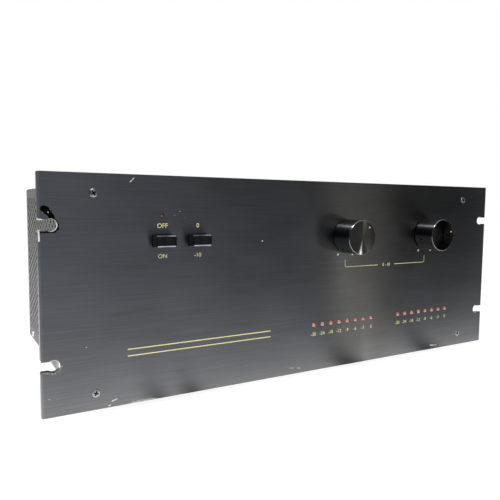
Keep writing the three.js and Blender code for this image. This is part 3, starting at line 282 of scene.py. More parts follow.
class Field:
    """A number that varies over a surface. Sums and products of fields become shader nodes."""

    def __init__(self, tree, socket):
        self.tree = tree
        self.socket = socket

    def math(self, kind, *values):
        node = self.tree.nodes.new("ShaderNodeMath")
        node.operation = kind
        for socket, value in zip(node.inputs, values):
            plug(self.tree, socket, value)
        return Field(self.tree, node.outputs[0])

    def __rsub__(self, other):
        return self.math("SUBTRACT", other, self)

    __add__ = __radd__ = operation("ADD")
    __mul__ = __rmul__ = operation("MULTIPLY")
    __sub__ = operation("SUBTRACT")
    __truediv__ = operation("DIVIDE")
    size = operation("ABSOLUTE")
    root = operation("SQRT")
    exp = operation("EXPONENT")
    least = operation("MINIMUM")
    most = operation("MAXIMUM")
    above = operation("GREATER_THAN")
    below = operation("LESS_THAN")

    # What is left beyond the last whole number
    part = operation("FRACT")

    def ramp(self, low, high, start=0.0, end=1.0):
        """Turns smoothly from start at low to end at high."""
        node = self.tree.nodes.new("ShaderNodeMapRange")
        node.interpolation_type = "SMOOTHSTEP"
        limits = {"Value": self, "From Min": low, "From Max": high, "To Min": start, "To Max": end}
        for name, value in limits.items():
            plug(self.tree, node.inputs[name], value)
        return Field(self.tree, node.outputs["Result"])


def plug(tree, socket, value):
    """Gives an input a field, a number or a colour of three parts."""
    if isinstance(value, Field):
        tree.links.new(value.socket, socket)
    else:
        socket.default_value = (*value, 1) if isinstance(value, tuple) else value


class Paint:
    """A material or a world while it is made up."""

    def __init__(self, name, world=False):
        self.material = bpy.data.worlds.new(name) if world else bpy.data.materials.new(name)
        self.material.use_nodes = True
        self.tree = self.material.node_tree
        self.shader = self.tree.nodes.get("Principled BSDF")

    def fill(self, node, inputs):
        """Gives inputs of a node their values. An underscore in a name stands for a space."""
        for name, value in inputs.items():
            plug(self.tree, node.inputs[name.replace("_", " ")], value)
        return node

    def set(self, **inputs):
        """Gives inputs of the material's shader their values."""
        self.fill(self.shader, inputs)

    def node(self, kind, **inputs):
        return self.fill(self.tree.nodes.new(kind), inputs)

    def field(self, kind, output, **inputs):
        return Field(self.tree, self.node(kind, **inputs).outputs[output])

    def split(self, kind, output):
        """The x, y and z that a node of a kind gives at one of its outputs."""
        apart = self.node("ShaderNodeSeparateXYZ")
        self.tree.links.new(self.node(kind).outputs[output], apart.inputs[0])
        return [Field(self.tree, out) for out in apart.outputs]

    def places(self):
        """The x, y and z of a point on the object, in millimetres."""
        return [part * (1 / MM) for part in self.split("ShaderNodeTexCoord", "Object")]

    def noise(self, x, y, z, detail=2.0, rough=0.5):
        """Noise from 0 to 1 at x, y, z, where one unit is about one blotch."""
        spot = self.field("ShaderNodeCombineXYZ", 0, X=x, Y=y, Z=z)
        return self.field("ShaderNodeTexNoise", 0, Vector=spot, Scale=1.0, Detail=detail, Roughness=rough)

    def grain(self, place, size, detail=2.0, rough=0.5):
        """Noise that is alike in every direction, with size as its blotches per millimetre."""
        return self.noise(*[part * size for part in place], detail, rough)

    def mix(self, share, first, second):
        """Between two colours."""
        node = self.tree.nodes.new("ShaderNodeMix")
        node.data_type = "RGBA"
        for socket, value in ((0, share), (6, first), (7, second)):
            plug(self.tree, node.inputs[socket], value)
        return Field(self.tree, node.outputs[2])

    def tint(self, colour, level):
        """A colour made lighter or darker by a field."""
        red, green, blue = [level * part for part in colour]
        return self.field("ShaderNodeCombineColor", 0, Red=red, Green=green, Blue=blue)

    def bump(self, height, depth, strength=1.0):
        """A relief whose height field of 0 to 1 stands for a depth in millimetres."""
        made = self.node("ShaderNodeBump", Height=height, Distance=depth * MM, Strength=strength)
        self.tree.links.new(made.outputs[0], self.shader.inputs["Normal"])

    def brush(self, axis, amount):
        """Streaked highlights, from brushing or turning about an axis."""
        tangent = self.tree.nodes.new("ShaderNodeTangent")
        tangent.direction_type = "RADIAL"
        tangent.axis = axis
        self.tree.links.new(tangent.outputs[0], self.shader.inputs["Tangent"])
        self.set(Anisotropic=amount, Anisotropic_Rotation=0.25)


def near_line(x, z, x0, z0, x1, z1, width):
    """1 within half a width of the line from (x0, z0) to (x1, z1)."""
    along = Vector((x1 - x0, z1 - z0))
    length = along.length
    along /= length
    u = (x - x0) * along.x + (z - z0) * along.y
    v = (z - z0) * along.x - (x - x0) * along.y
    beyond = ((u - length / 2).size() - length / 2).most(0.0)
    return (beyond * beyond + v * v).root().below(width / 2)


def most_of(fields):
    """The greatest of several fields at each place."""
    first, *rest = fields
    for field in rest:
        first = first.most(field)
    return first


# Panel sizes
PANEL_WIDTH = (panel_high.x - panel_low.x) / MM
PANEL_HEIGHT = (panel_high.z - panel_low.z) / MM
PANEL_THICKNESS = (panel_high.y - panel_low.y) / MM
PANEL_MIDDLE = PANEL_HEIGHT / 2
PANEL_CORNER = 1.0
PANEL_EDGE = 0.25
SLOT_X = 232.55
SLOT_RISE = 50.8
SLOT_RADIUS = 4.5
SLOT_MOUTH = 3.5
SLOT_FLARE = 0.8
EAR_STEP = 0.4

BARE = (0.80, 0.80, 0.78)
ANODISED = (0.208, 0.209, 0.212)
# Width in millimetres of a painted highlight along the panel face's left edge
LEFT_EDGE_HIGHLIGHT = 2.5
CHIPPED_X = -166.0
SLANT_SHARE = 0.157

# Worn places on the panel: x0, z0, x1, z1 and width
NICKS = [
    (-175.1, 171.1, -172.0, 174.1, 0.5), (-190.6, 4.6, -186.7, 5.8, 0.8), (-193.2, 1.5, -191.8, 1.9, 0.8),
    (158.8, 4.5, 164.0, 3.6, 1.1), (165.8, 3.9, 168.4, 3.3, 0.8), (-26.2, 6.2, -22.5, 5.6, 0.5),
    (-17.5, 4.9, -14.9, 4.5, 0.5), (-209.3, 48.7, -208.9, 48.7, 0.45), (-236.1, 14.0, -235.7, 14.0, 0.45),
    (-57.8, 123.6, -57.4, 123.8, 0.9), (-135.3, 149.0, -134.4, 149.2, 0.22),
    (-139.4, 145.9, -139.2, 145.9, 0.25), (-130.9, 144.3, -130.5, 144.3, 0.22),
    (-241.3, 143.2, -238.6, 142.8, 1.5), (-241.0, 134.6, -240.7, 128.6, 1.7),
    (-234.2, 148.4, -234.0, 148.3, 0.6),
]
TOUCHED_UP = [
    (-237.0, 150.8, -235.3, 150.2, 4.6), (-235.2, 149.0, -233.4, 147.6, 4.2),
    (-232.2, 145.7, -231.3, 143.2, 4.1), (-230.6, 144.2, -228.3, 141.2, 1.7),
    (-227.9, 140.6, -227.5, 137.4, 1.3), (-227.9, 136.7, -229.8, 134.8, 1.7),
    (-230.4, 134.5, -234.5, 134.2, 1.1), (-235.0, 134.3, -239.4, 134.1, 1.0),
]


def from_slots(x, z):
    """Distance across from the panel's middle, and up or down from the nearest slot's middle."""
    return x.size(), ((z - PANEL_MIDDLE).size() - SLOT_RISE).size()


def slant(x, z):
    """How far a place lies off the upper left slot's rising diagonal, as a share of the slot's radius. It
    stands for how lit the slot's wall is there.
    """
    return ((z - PANEL_MIDDLE - SLOT_RISE) - (x + SLOT_X)).size() * SLANT_SHARE


def anodised_face():
    """Black anodised aluminium, brushed along its length, with chips, nicks and touched-up paint. Painted
    highlights lighten its left edge and spread the bare metal round the upper left slot.
    """
    paint = Paint("panel_face")
    place = paint.places()
    x, _, z = place
    streak = paint.noise(x * 0.012, 0.0, z * 3.2, 3.0)
    fine = paint.noise(x * 0.05, 0.0, z * 13.0)
    cloud = paint.noise(x * 0.015, 0.0, z * 0.03)
    band = paint.noise(x * 0.02, 0.0, z * 0.8)
    level = 1.0 + (streak - 0.5) * 0.3 + (fine - 0.5) * 0.35 + (cloud - 0.5) * 0.35 + (band - 0.5) * 0.4
    # Painted highlight: the face is lighter along its left edge
    level = level * x.ramp(-PANEL_WIDTH / 2, LEFT_EDGE_HIGHLIGHT - PANEL_WIDTH / 2, 1.4, 1.0)
    chip = paint.grain(place, 0.55, 3.0, 0.6)
    speck = paint.grain(place, 1.6)
    upper_left = x.below(0.0) * z.above(PANEL_MIDDLE)
    lower_left = x.below(0.0) * z.below(PANEL_MIDDLE)
    across, rise = from_slots(x, z)
    round_end = ((across - SLOT_X) * (across - SLOT_X) + rise * rise).root() - SLOT_RADIUS
    mouth = (rise - SLOT_MOUTH) + across.below(SLOT_X) * 100.0
    gap = round_end.least(mouth)
    # Partly painted highlight: round the upper left slot, bare metal spreads further where the slot is lit,
    # off its rising diagonal
    bare = gap.below((0.04 + upper_left * slant(x, z) * 0.3) * (chip - 0.36) * 3.0)
    nicked = most_of(near_line(x, z, *nick) for nick in NICKS) * (chip * 0.6 + speck * 0.4).above(0.4)
    chipped_edge = z.below((x - CHIPPED_X).size().ramp(5.0, 17.0, 2.6, -0.1) * (speck - 0.44) * 5.0)
    specks = lower_left * z.below(PANEL_MIDDLE - SLOT_RISE) * gap.below((speck - 0.53) * 14.0)
    bare = most_of((bare, nicked, chipped_edge, specks))
    wobble = (chip - 0.5) * 2.0 + (speck - 0.5) * 0.8
    touched = most_of(near_line(x + wobble, z - wobble, *stroke) for stroke in TOUCHED_UP) * (1.0 - bare)
    worn = lower_left * gap.below(chip * 2.2 - 0.1) * x.above(-SLOT_X) * z.above(PANEL_MIDDLE - SLOT_RISE)
    colour = paint.mix(worn * 0.6, paint.tint(ANODISED, level), (0.33, 0.27, 0.21))
    colour = paint.mix(bare, colour, BARE)
    colour = paint.mix(touched, colour, (0.001, 0.001, 0.001))
    changed = touched.most(bare)
    rough = 0.29 + (fine - 0.5) * 0.08 + (cloud - 0.5) * 0.05 + changed * 0.4
    paint.set(Base_Color=colour, Metallic=1.0 - changed, Roughness=rough, Specular_IOR_Level=0.05)
    paint.brush("Z", 0.93)
    paint.bump(fine * 0.6 + streak * 0.4, 0.006, 0.4)
    return paint.material


def anodised_edge():
    """The panel's edges and slot walls, rubbed to bare metal here and there, partly spread as painted
    highlight, with painted shade on the left half's upper edges and deep in the upper left slot.
    """
    paint = Paint("panel_edge")
    x, y, z = paint.places()
    rub = paint.noise(x * 0.5, y * 0.8, z * 0.5, 3.0, 0.6)
    across, rise = from_slots(x, z)
    left = x.below(0.0)
    slot = rise.below(SLOT_MOUTH + 1.6) * across.above(SLOT_X - SLOT_RADIUS - 1.0)
    upper_left = slot * left * z.above(PANEL_MIDDLE)
    sill = slot * left * z.below(PANEL_MIDDLE - SLOT_RISE - 1.8)
    # Painted shade: on the left half, edges and hole walls outside the slots darken and lose their metal
    # sheen from z 60 up to z 140
    painted_edge_shade = z.ramp(60.0, 140.0) * (1.0 - slot) * left
    pale = slot * left * z.below(PANEL_MIDDLE) * (1.0 - sill)
    # Partly painted highlight: the upper left slot's wall shows bare metal more where it is lit, off its
    # rising diagonal
    bare_above = 0.72 - slot * 0.12 - upper_left * (slant(x, z) * 0.4 - 0.12) - pale * 0.25
    bare = rub.above(bare_above) * (1.0 - painted_edge_shade) * (1.0 - upper_left * y.above(2.0)) * (1.0 - sill)
    level = (0.9 + rub * 0.6) * (1.0 - painted_edge_shade * 0.7) * (1.0 - sill * 0.75)
    # Painted shade: the upper left slot's wall is darker more than 1.2 mm back from the front
    level = level * (1.0 - upper_left * y.above(1.2) * 0.6)
    colour = paint.mix(bare, paint.tint((0.23, 0.225, 0.21), level), BARE)
    paint.set(Base_Color=colour, Metallic=1.0 - painted_edge_shade, Roughness=0.36 + rub * 0.1, Specular_IOR_Level=0.02)
    return paint.material


def plated(name, colour, rough, dirt):
    """Plated or bare steel with a little dirt and dulling."""
    paint = Paint(name)
    place = paint.places()
    spots = paint.grain(place, 0.9, 3.0, 0.6)
    cloud = paint.grain(place, 0.12)
    level = 1.0 - dirt * spots.ramp(0.45, 0.75) + (cloud - 0.5) * 0.2
    rough = rough + spots.ramp(0.4, 0.8) * 0.2
    paint.set(Base_Color=paint.tint(colour, level), Metallic=1.0, Roughness=rough)
    return paint.material


def moulded(name, colour, rough, grain=0.01, metal=0.0, size=3.0):
    """Moulding, paint, rubber or anodising with a fine grain of a given size per millimetre."""
    paint = Paint(name)
    place = paint.places()
    fine = paint.grain(place, size)
    cloud = paint.grain(place, 0.07)
    rough = rough + (cloud - 0.5) * 0.12 + (fine - 0.5) * 0.08
    level = 0.85 + fine * 0.12 + cloud * 0.18
    paint.set(Base_Color=paint.tint(colour, level), Metallic=metal, Roughness=rough)
    paint.bump(fine, grain, 0.6)
    return paint.material


def spun_face():
    """The knob's front face, turned in fine rings."""
    paint = Paint("knob_face")
    x, _, z = paint.places()
    radius = (x * x + z * z).root()
    rings = paint.noise(radius * 7.0, 0.0, 0.0)
    colour = paint.tint((0.17, 0.17, 0.165), 0.8 + rings * 0.4)
    paint.set(Base_Color=colour, Metallic=1.0, Roughness=0.1 + (rings - 0.5) * 0.03)
    paint.brush("Y", 1.0)
    paint.bump(rings, 0.003, 0.4)
    return paint.material


def spun_side():
    """The knob's side, turned in fine grooves, which stretch a light along the knob."""
    paint = Paint("knob_side")
    grooves = paint.noise(paint.places()[1] * 9.0, 0.0, 0.0)
    colour = paint.tint((0.062, 0.062, 0.064), 0.85 + grooves * 0.3)
    paint.set(Base_Color=colour, Metallic=1.0, Roughness=0.32 + (grooves - 0.5) * 0.06)
    paint.brush("Y", 1.0)
    paint.bump(grooves, 0.003, 0.4)
    return paint.material


def gold_print():
    """Gold screen printing, thin in places."""
    paint = Paint("gold_print")
    x, _, z = paint.places()
    thin = paint.noise(x * 1.4, 0.0, z * 1.4, 3.0, 0.6)
    paint.set(Base_Color=paint.tint((0.92, 0.82, 0.38), 0.84 + thin * 0.42), Roughness=0.5)
    return paint.material


def lens(name, level):
    """Clear red epoxy over its frame, unlit. Painted light makes it pinker towards the bottom, a painted
    shadow darkens a ring at its edge, and a level below 1 darkens it all as painted shade.
    """
    paint = Paint(name)
    place = paint.places()
    x, _, z = place
    # Painted shade: a darker ring at the edge of the dome
    rim = (x * x + z * z).root().ramp(2.2, 2.5)
    swirl = paint.grain(place, 1.2, 1.0)
    # Painted light: the lens turns pinker towards the bottom, where light gathers inside it
    body = paint.mix(z.ramp(1.2, -1.6), paint.tint((0.50, 0.15, 0.13), 0.8 + swirl * 0.4), (0.86, 0.48, 0.43))
    # Painted shade: a level below 1 darkens the whole lens
    colour = paint.mix(1.0 - level, paint.mix(rim, body, (0.34, 0.055, 0.05)), (0.05, 0.012, 0.014))
    paint.set(Base_Color=colour, Roughness=0.12 + swirl * 0.08, Coat_Weight=0.8, Coat_Roughness=0.05)
    return paint.material


def laminations():
    """Varnished steel sheets, stacked along y."""
    paint = Paint("core_steel")
    place = paint.places()
    gap = (place[1] * 2.0).part().below(0.22)
    stain = paint.grain(place, 0.08, 3.0)
    colour = paint.mix(gap, paint.tint((0.11, 0.10, 0.09), 0.6 + stain * 0.8), (0.02, 0.017, 0.014))
    paint.set(Base_Color=colour, Metallic=0.6, Roughness=0.45 + stain * 0.25)
    paint.bump(1.0 - gap, 0.1, 0.6)
    return paint.material


def paper_wrap():
    """Varnished paper round the coil, wound in bands."""
    paint = Paint("coil_wrap")
    x, y, z = paint.places()
    band = (z * 0.09).part()
    stain = paint.noise(x * 0.06, y * 0.06, z * 0.12, 3.0)
    fibre = paint.noise(x * 1.5, y * 1.5, z * 5.0)
    level = 0.65 + stain * 0.5 + fibre * 0.15 - band.below(0.06) * 0.3
    paint.set(Base_Color=paint.tint((0.42, 0.27, 0.10), level), Roughness=0.42 + stain * 0.2)
    paint.bump(fibre * 0.3 + band * 0.7, 0.12, 0.6)
    return paint.material


def laminate_board():
    """Green lacquered circuit board with soldered tracks."""
    paint = Paint("circuit_board")
    place = paint.places()
    cell = paint.grain(place, 0.16, 1.0)
    track = (cell * 9.0).part().below(0.3)
    weave = paint.grain(place, 2.5)
    colour = paint.mix(track, paint.tint((0.03, 0.13, 0.05), 0.8 + weave * 0.4), (0.06, 0.24, 0.09))
    paint.set(Base_Color=colour, Roughness=0.32 + weave * 0.12)
    paint.bump(track * 0.7 + weave * 0.3, 0.05, 0.5)
    return paint.material


def case_paint():
    """Satin black paint on sheet steel, dusty and rubbed lighter in places, with a painted reflection that
    makes it lighter towards the bottom and darker towards the top.
    """
    paint = Paint("case_black")
    place = paint.places()
    x, y, z = place
    orange_peel = paint.grain(place, 1.3)
    dust = paint.grain(place, 0.03, 4.0, 0.6)
    # Painted reflection: the paint is lighter towards the bottom, as where it mirrors the white floor, and
    # darker towards the top
    colour = paint.tint((0.056, 0.054, 0.049), (0.7 + dust * 0.6) * z.ramp(20.0, 165.0, 2.2, 0.6))
    rubbed = z.ramp(34.0, 14.0) * y.ramp(150.0, 115.0) * x.size().above(212.0) * dust.ramp(0.3, 0.5)
    colour = paint.mix(rubbed * 0.8, colour, (0.40, 0.39, 0.37))
    paint.set(Base_Color=colour, Roughness=0.38 + dust * 0.14, Specular_IOR_Level=0.25)
    paint.bump(orange_peel, 0.012, 0.4)
    return paint.material


panel_face = anodised_face()
panel_edge = anodised_edge()
screw_plate = plated("screw_plate", (0.76, 0.75, 0.71), 0.18, 0.5)
# Painted shade: a darker and rougher copy of the screw plating, for the lower panel screws
screw_plate_shaded = plated("screw_plate_shaded", (0.47, 0.45, 0.41), 0.3, 0.6)
# Painted shade: dark steel for the screws' cross recesses and the knob's set-screw bore
recess_shade = plated("screw_recess_shade", (0.045, 0.032, 0.024), 0.6, 0.5)
button_black = moulded("button_black", (0.004, 0.004, 0.0045), 0.26, 0.004)
# Painted reflections: light metal strips on the buttons' lower and upper bevels
button_painted_reflection_low = moulded("button_painted_reflection_low", (0.46, 0.46, 0.45), 0.26, 0.004, metal=1.0)
button_painted_reflection_top = moulded("button_painted_reflection_top", (0.24, 0.24, 0.25), 0.3, 0.004, metal=1.0)
knob_side = spun_side()
knob_edge = moulded("knob_edge", (0.44, 0.44, 0.44), 0.14, 0.003, metal=1.0)
knob_face = spun_face()
pale_paint = moulded("pale_paint", (0.78, 0.76, 0.55), 0.5, 0.01)
gold = gold_print()
lamp_red = lens("lamp_red", 1.0)
# Painted shade: a darker copy of the red lens, for the power lamp
lamp_red_shaded = lens("lamp_red_shaded", 0.4)
case_black = case_paint()
foot_rubber = moulded("foot_rubber", (0.016, 0.016, 0.016), 0.7, 0.05)
heatsink_black = moulded("heatsink_black", (0.055, 0.055, 0.06), 0.42, 0.02, metal=0.9)
steel = plated("shaft_steel", (0.62, 0.62, 0.62), 0.24, 0.2)
switch_metal = plated("switch_metal", (0.55, 0.54, 0.50), 0.34, 0.4)
chassis_steel = plated("chassis_steel", (0.38, 0.365, 0.31), 0.46, 0.3)
core_steel = laminations()
coil_wrap = paper_wrap()
sleeve_blue = moulded("capacitor_sleeve", (0.03, 0.075, 0.19), 0.28, 0.01, size=0.6)
moulding_black = moulded("moulding_black", (0.017, 0.016, 0.016), 0.36, 0.01)
moulding_red = moulded("moulding_red", (0.36, 0.012, 0.012), 0.3, 0.006)
nickel = plated("jack_metal", (0.74, 0.71, 0.64), 0.22, 0.2)
insulator_white = moulded("insulator_white", (0.62, 0.6, 0.55), 0.45, 0.01)
circuit_board = laminate_board()


# Solid parts that keep their own shape
CARRIED = {
    circuit_board: ["display_board", "left_output_board", "right_output_board"],
    chassis_steel: ["chassis_tray"],
    case_black: ["rear_panel"],
    core_steel: ["transformer_core"],
    coil_wrap: ["transformer_coil"],
    sleeve_blue: ["left_capacitor", "right_capacitor"],
    switch_metal: [
        "power_switch", "display_switch", "left_level_pot", "right_level_pot", "capacitor_bracket",
    ],
    steel: ["left_level_shaft", "right_level_shaft"],
    moulding_black: ["bridge_rectifier"],
}
for material, nodes in CARRIED.items():
    for node in nodes:
        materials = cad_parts[node].data.materials
        materials.clear()
        materials.append(material)


# Front panel
POWER_X, _, BUTTON_Z = middle("power_button")
DISPLAY_X = middle("display_button").x
LAMP_Z = middle("power_lamp").z
CHANNELS = {side: middle(f"{side}_level_shaft") for side in ("left", "right")}
METER_LAMPS = [f"{side}_meter_lamp_{i}" for side in ("left", "right") for i in range(1, 9)]
BUTTON_HOLE = (17.0, 9.8, 0.5)
POWER_LAMP_HOLE = 1.6
METER_LAMP_HOLE = 2.55
SHAFT_HOLE = 5.05
HOLE_EASE = 0.12
SINK_RADIUS = 3.35
SINK_DEPTH = 2.0
SINK_BORE = 2.05

# How far a cut runs on past the surface that it starts from
OVERRUN = 1.0

# Panel screws, with how many degrees each is turned
SCREW_TURNS = {"panel_screw_1": 20, "panel_screw_2": 8, "panel_screw_3": 55, "panel_screw_4": 32}
HEAD_RADIUS = 3.2
HEAD_DEPTH = 1.9
SHANK_RADIUS = 1.75
SHANK_LENGTH = 12.0
CROSS_REACH = 0.62 * HEAD_RADIUS
CROSS_WIDTH = 0.17 * HEAD_RADIUS
CROSS_DEPTH = 1.3


def panel_outline():
    """The panel's outline, anticlockwise as seen from the front, with its open-ended slots."""
    half = PANEL_WIDTH / 2
    reach = math.degrees(math.asin(SLOT_MOUTH / SLOT_RADIUS))
    right = arc(half - PANEL_CORNER, PANEL_CORNER, PANEL_CORNER, 270, 360, 4)
    for z in (PANEL_MIDDLE - SLOT_RISE, PANEL_MIDDLE + SLOT_RISE):
        low, high = z - SLOT_MOUTH - SLOT_FLARE, z + SLOT_MOUTH + SLOT_FLARE
        right += arc(half - SLOT_FLARE, low, SLOT_FLARE, 0, 90, 4)
        right += arc(SLOT_X, z, SLOT_RADIUS, -reach, reach - 360, 24)
        right += arc(half - SLOT_FLARE, high, SLOT_FLARE, 270, 360, 4)
    right += arc(half - PANEL_CORNER, PANEL_HEIGHT - PANEL_CORNER, PANEL_CORNER, 0, 90, 4)
    return right + [(-x, z) for x, z in reversed(right)]


def front_panel():
    """The panel with its holes, stepped back behind its ears where the case meets it."""
    shell = Shell()
    eased = [(PANEL_EDGE, 0), (0.3 * PANEL_EDGE, 0.3 * PANEL_EDGE), (0, PANEL_EDGE)]
    eased += [(0, PANEL_THICKNESS - PANEL_EDGE), (PANEL_EDGE, PANEL_THICKNESS)]
    rings = layers(shell, panel_outline(), eased)
    crisp = [(-HOLE_EASE, 0), (0, HOLE_EASE), (0, PANEL_THICKNESS)]
    outlines = [rounded(*BUTTON_HOLE, x, BUTTON_Z) for x in (POWER_X, DISPLAY_X)]
    outlines.append(circle(POWER_X, LAMP_Z, POWER_LAMP_HOLE, 24))
    outlines += [circle(place.x, place.z, SHAFT_HOLE, 32) for place in CHANNELS.values()]
    outlines += [circle(middle(lamp).x, middle(lamp).z, METER_LAMP_HOLE, 32) for lamp in METER_LAMPS]
    holes = [layers(shell, outline, crisp) for outline in outlines]
    sink = [(SINK_RADIUS, 0), (SINK_BORE, SINK_DEPTH), (SINK_BORE, PANEL_THICKNESS)]
    for screw in SCREW_TURNS:
        x, _, z = middle(screw)
        holes.append([shell.ring((u, y, v) for u, v in circle(x, z, radius, 32)) for radius, y in sink])
    plate(shell, rings, holes, side=1)
    mesh = shell.mesh("front_panel", panel_face, panel_edge)
    reach = span("perforated_cover")[1].x + OVERRUN
    deep = (PANEL_THICKNESS - EAR_STEP, PANEL_THICKNESS + OVERRUN)
    return cut_away(mesh, block(-reach, reach, *deep, -OVERRUN, PANEL_HEIGHT + OVERRUN))


def panel_screw(name, plating, crown):
    """A countersunk screw with a cross recess, whose face is domed by its crown."""
    angles = [math.pi / 2 * k / 6 for k in range(1, 6)]
    dome = [(HEAD_RADIUS * math.sin(a), -crown * math.cos(a)) for a in angles]
    shank = [(SHANK_RADIUS, HEAD_DEPTH), (SHANK_RADIUS, SHANK_LENGTH), (0, SHANK_LENGTH)]
    mesh = lathe(name, [(0, -crown), *dome, (HEAD_RADIUS, 0.12), *shank], 32, plating, recess_shade)
    for wide, high in ((CROSS_REACH, CROSS_WIDTH), (CROSS_WIDTH, CROSS_REACH)):
        cutter = Shell()
        cutter.kind = 1
        steps = []
        for share, y in ((1.1, -crown - 0.4), (0.5, CROSS_DEPTH)):
            u, v = wide * share, high * share
            steps.append(cutter.ring([(-u, y, -v), (u, y, -v), (u, y, v), (-u, y, v)]))
        cutter.bridge(*steps)
        for step in steps:
            cutter.face(step)
        mesh = cut_away(mesh, cutter.mesh("cross"))
    return mesh


piece("front_panel_brushed", front_panel(), slot="panel_black", replaces=["front_panel"])
raised_screw = panel_screw("raised_screw", screw_plate, 0.7)
flat_screw = panel_screw("flat_screw", screw_plate_shaded, 0.3)
for screw, turn in SCREW_TURNS.items():
    # The lower screws take the flatter head and the shaded plating
    mesh = raised_screw if middle(screw).z > PANEL_MIDDLE else flat_screw
    stand_in(screw, "plated", mesh, "screw_plate", turn=turn)


# Printing on the panel
PRINT_LIFT = 0.03
BUTTON_WORDS = [("OFF", POWER_X, 138.0, 3.6), ("ON", POWER_X, 114.1, 3.4)]
BUTTON_WORDS += [("0", DISPLAY_X, 138.0, 3.6), ("-10", DISPLAY_X, 114.1, 3.4)]
LAMP_FIGURES = ("-30", "-24", "-18", "-12", "-9", "-6", "-3", "0")
LAMP_FIGURE_Z = 34.7
LAMP_FIGURE_HEIGHT = 3.2
MINUS_SHIFT = 0.6
LEVEL_WORDS = ("0 - 10", 89.8, 96.3, 3.0)
LEVEL_DOTS = ((27.0, 108.7), (44.9, 108.3), (135.1, 108.75), (153.3, 108.7))
DOT_RADIUS = 1.05
BRACKET_TOP = 103.4
BRACKET_BEND = 2.0
BRACKET_GAP = (78.6, 101.0)
BRACKET_LINE = 0.48
PINSTRIPES = (43.2, 38.0)
PINSTRIPE_ENDS = (-178, -48)
PINSTRIPE_LINE = 0.8


def printed(shell, outline):
    """An outline, as thick as the ink."""
    plate(shell, layers(shell, outline, [(0, -PRINT_LIFT), (0, PRINT_LIFT)]))


def stripe(shell, points, width):
    """A printed line through points."""
    outline = []
    for path in (points, points[::-1]):
        for i, (x, z) in enumerate(path):
            x0, z0 = path[max(i - 1, 0)]
            x1, z1 = path[min(i + 1, len(path) - 1)]
            along = Vector((x1 - x0, z1 - z0)).normalized() * (width / 2)
            outline.append((x + along.y, z - along.x))
    printed(shell, outline)


def words(shell, text, x, z, height):
    """Printed figures, centred on a place and as tall as given."""
    curve = bpy.data.curves.new("words", "FONT")
    curve.body = text
    curve.resolution_u = 4
    holder = bpy.data.objects.new("words", curve)
    mesh = bpy.data.meshes.new_from_object(holder)
    us = [vertex.co.x for vertex in mesh.vertices]
    vs = [vertex.co.y for vertex in mesh.vertices]
    scale = height / (max(vs) - min(vs))
    middle_u, middle_v = (max(us) + min(us)) / 2, (max(vs) + min(vs)) / 2
    flat = [((u - middle_u) * scale + x, (v - middle_v) * scale + z) for u, v in zip(us, vs)]
    front, back = [shell.ring((u, y, v) for u, v in flat) for y in (-PRINT_LIFT, PRINT_LIFT)]
    edges = {}
    for polygon in mesh.polygons:
        corners = list(polygon.vertices)
        shell.face(front[c] for c in corners)
        shell.face(back[c] for c in reversed(corners))
        edges.update(dict.fromkeys(zip(corners, corners[1:] + corners[:1])))
    for a, b in edges:
        if (b, a) not in edges:
            shell.face((front[a], back[a], back[b], front[b]))
    bpy.data.objects.remove(holder)
    bpy.data.curves.remove(curve)
    bpy.data.meshes.remove(mesh)


def print_piece(name, texts=(), dots=(), lines=(), width=0.0):
    """One piece of print: figures, dots, and lines of a width."""
    shell = Shell()
    for x, z in dots:
        printed(shell, circle(x, z, DOT_RADIUS, 20))
    for points in lines:
        stripe(shell, points, width)
    for text in texts:
        words(shell, *text)
    piece(name, shell.mesh(name, gold))


def lamp_words():
    """A figure under each meter lamp, moved over a little where it has a minus."""
    for lamp, figure in zip(METER_LAMPS, LAMP_FIGURES * 2):
        shift = 0 if figure == "0" else MINUS_SHIFT
        yield figure, middle(lamp).x - shift, LAMP_FIGURE_Z, LAMP_FIGURE_HEIGHT


def brackets():
    """The two halves of a bracket that joins the knobs, with a gap for its figures."""
    left, right = CHANNELS["left"].x, CHANNELS["right"].x
    low, bend = LEVEL_WORDS[2], BRACKET_BEND
    left_bend = arc(left + bend, low + bend, bend, 180, 270, 6)
    right_bend = arc(right - bend, low + bend, bend, 270, 360, 6)
    yield [(left, BRACKET_TOP), *left_bend, (BRACKET_GAP[0], low)]
    yield [(BRACKET_GAP[1], low), *right_bend, (right, BRACKET_TOP)]


print_piece("scale_figures", lamp_words())
print_piece("button_marks", BUTTON_WORDS)
print_piece("level_marks", [LEVEL_WORDS], LEVEL_DOTS, brackets(), BRACKET_LINE)
pinstripes = [[(x, z) for x in PINSTRIPE_ENDS] for z in PINSTRIPES]
print_piece("pinstripes", lines=pinstripes, width=PINSTRIPE_LINE)


# Buttons
BUTTON_DEPTH = 15.0
BUTTON_CORNER = 0.55
STEM_WIDTH = 5.0
STEM_CORNER = 0.3


def cap_ring(shell, width, height, y, dish):
    """A ring round a button, whose long sides lie back by a dish in the middle."""
    corners = rounded(width, height, BUTTON_CORNER)
    across = [(width / 2 - BUTTON_CORNER) * (1 - k / 5) for k in range(1, 10)]
    outline = corners[:5] + [(x, height / 2) for x in across] + corners[5:15]
    outline += [(-x, -height / 2) for x in across] + corners[15:]
    return shell.ring((x, y + dish * (1 - (2 * x / width) ** 2), z) for x, z in outline)


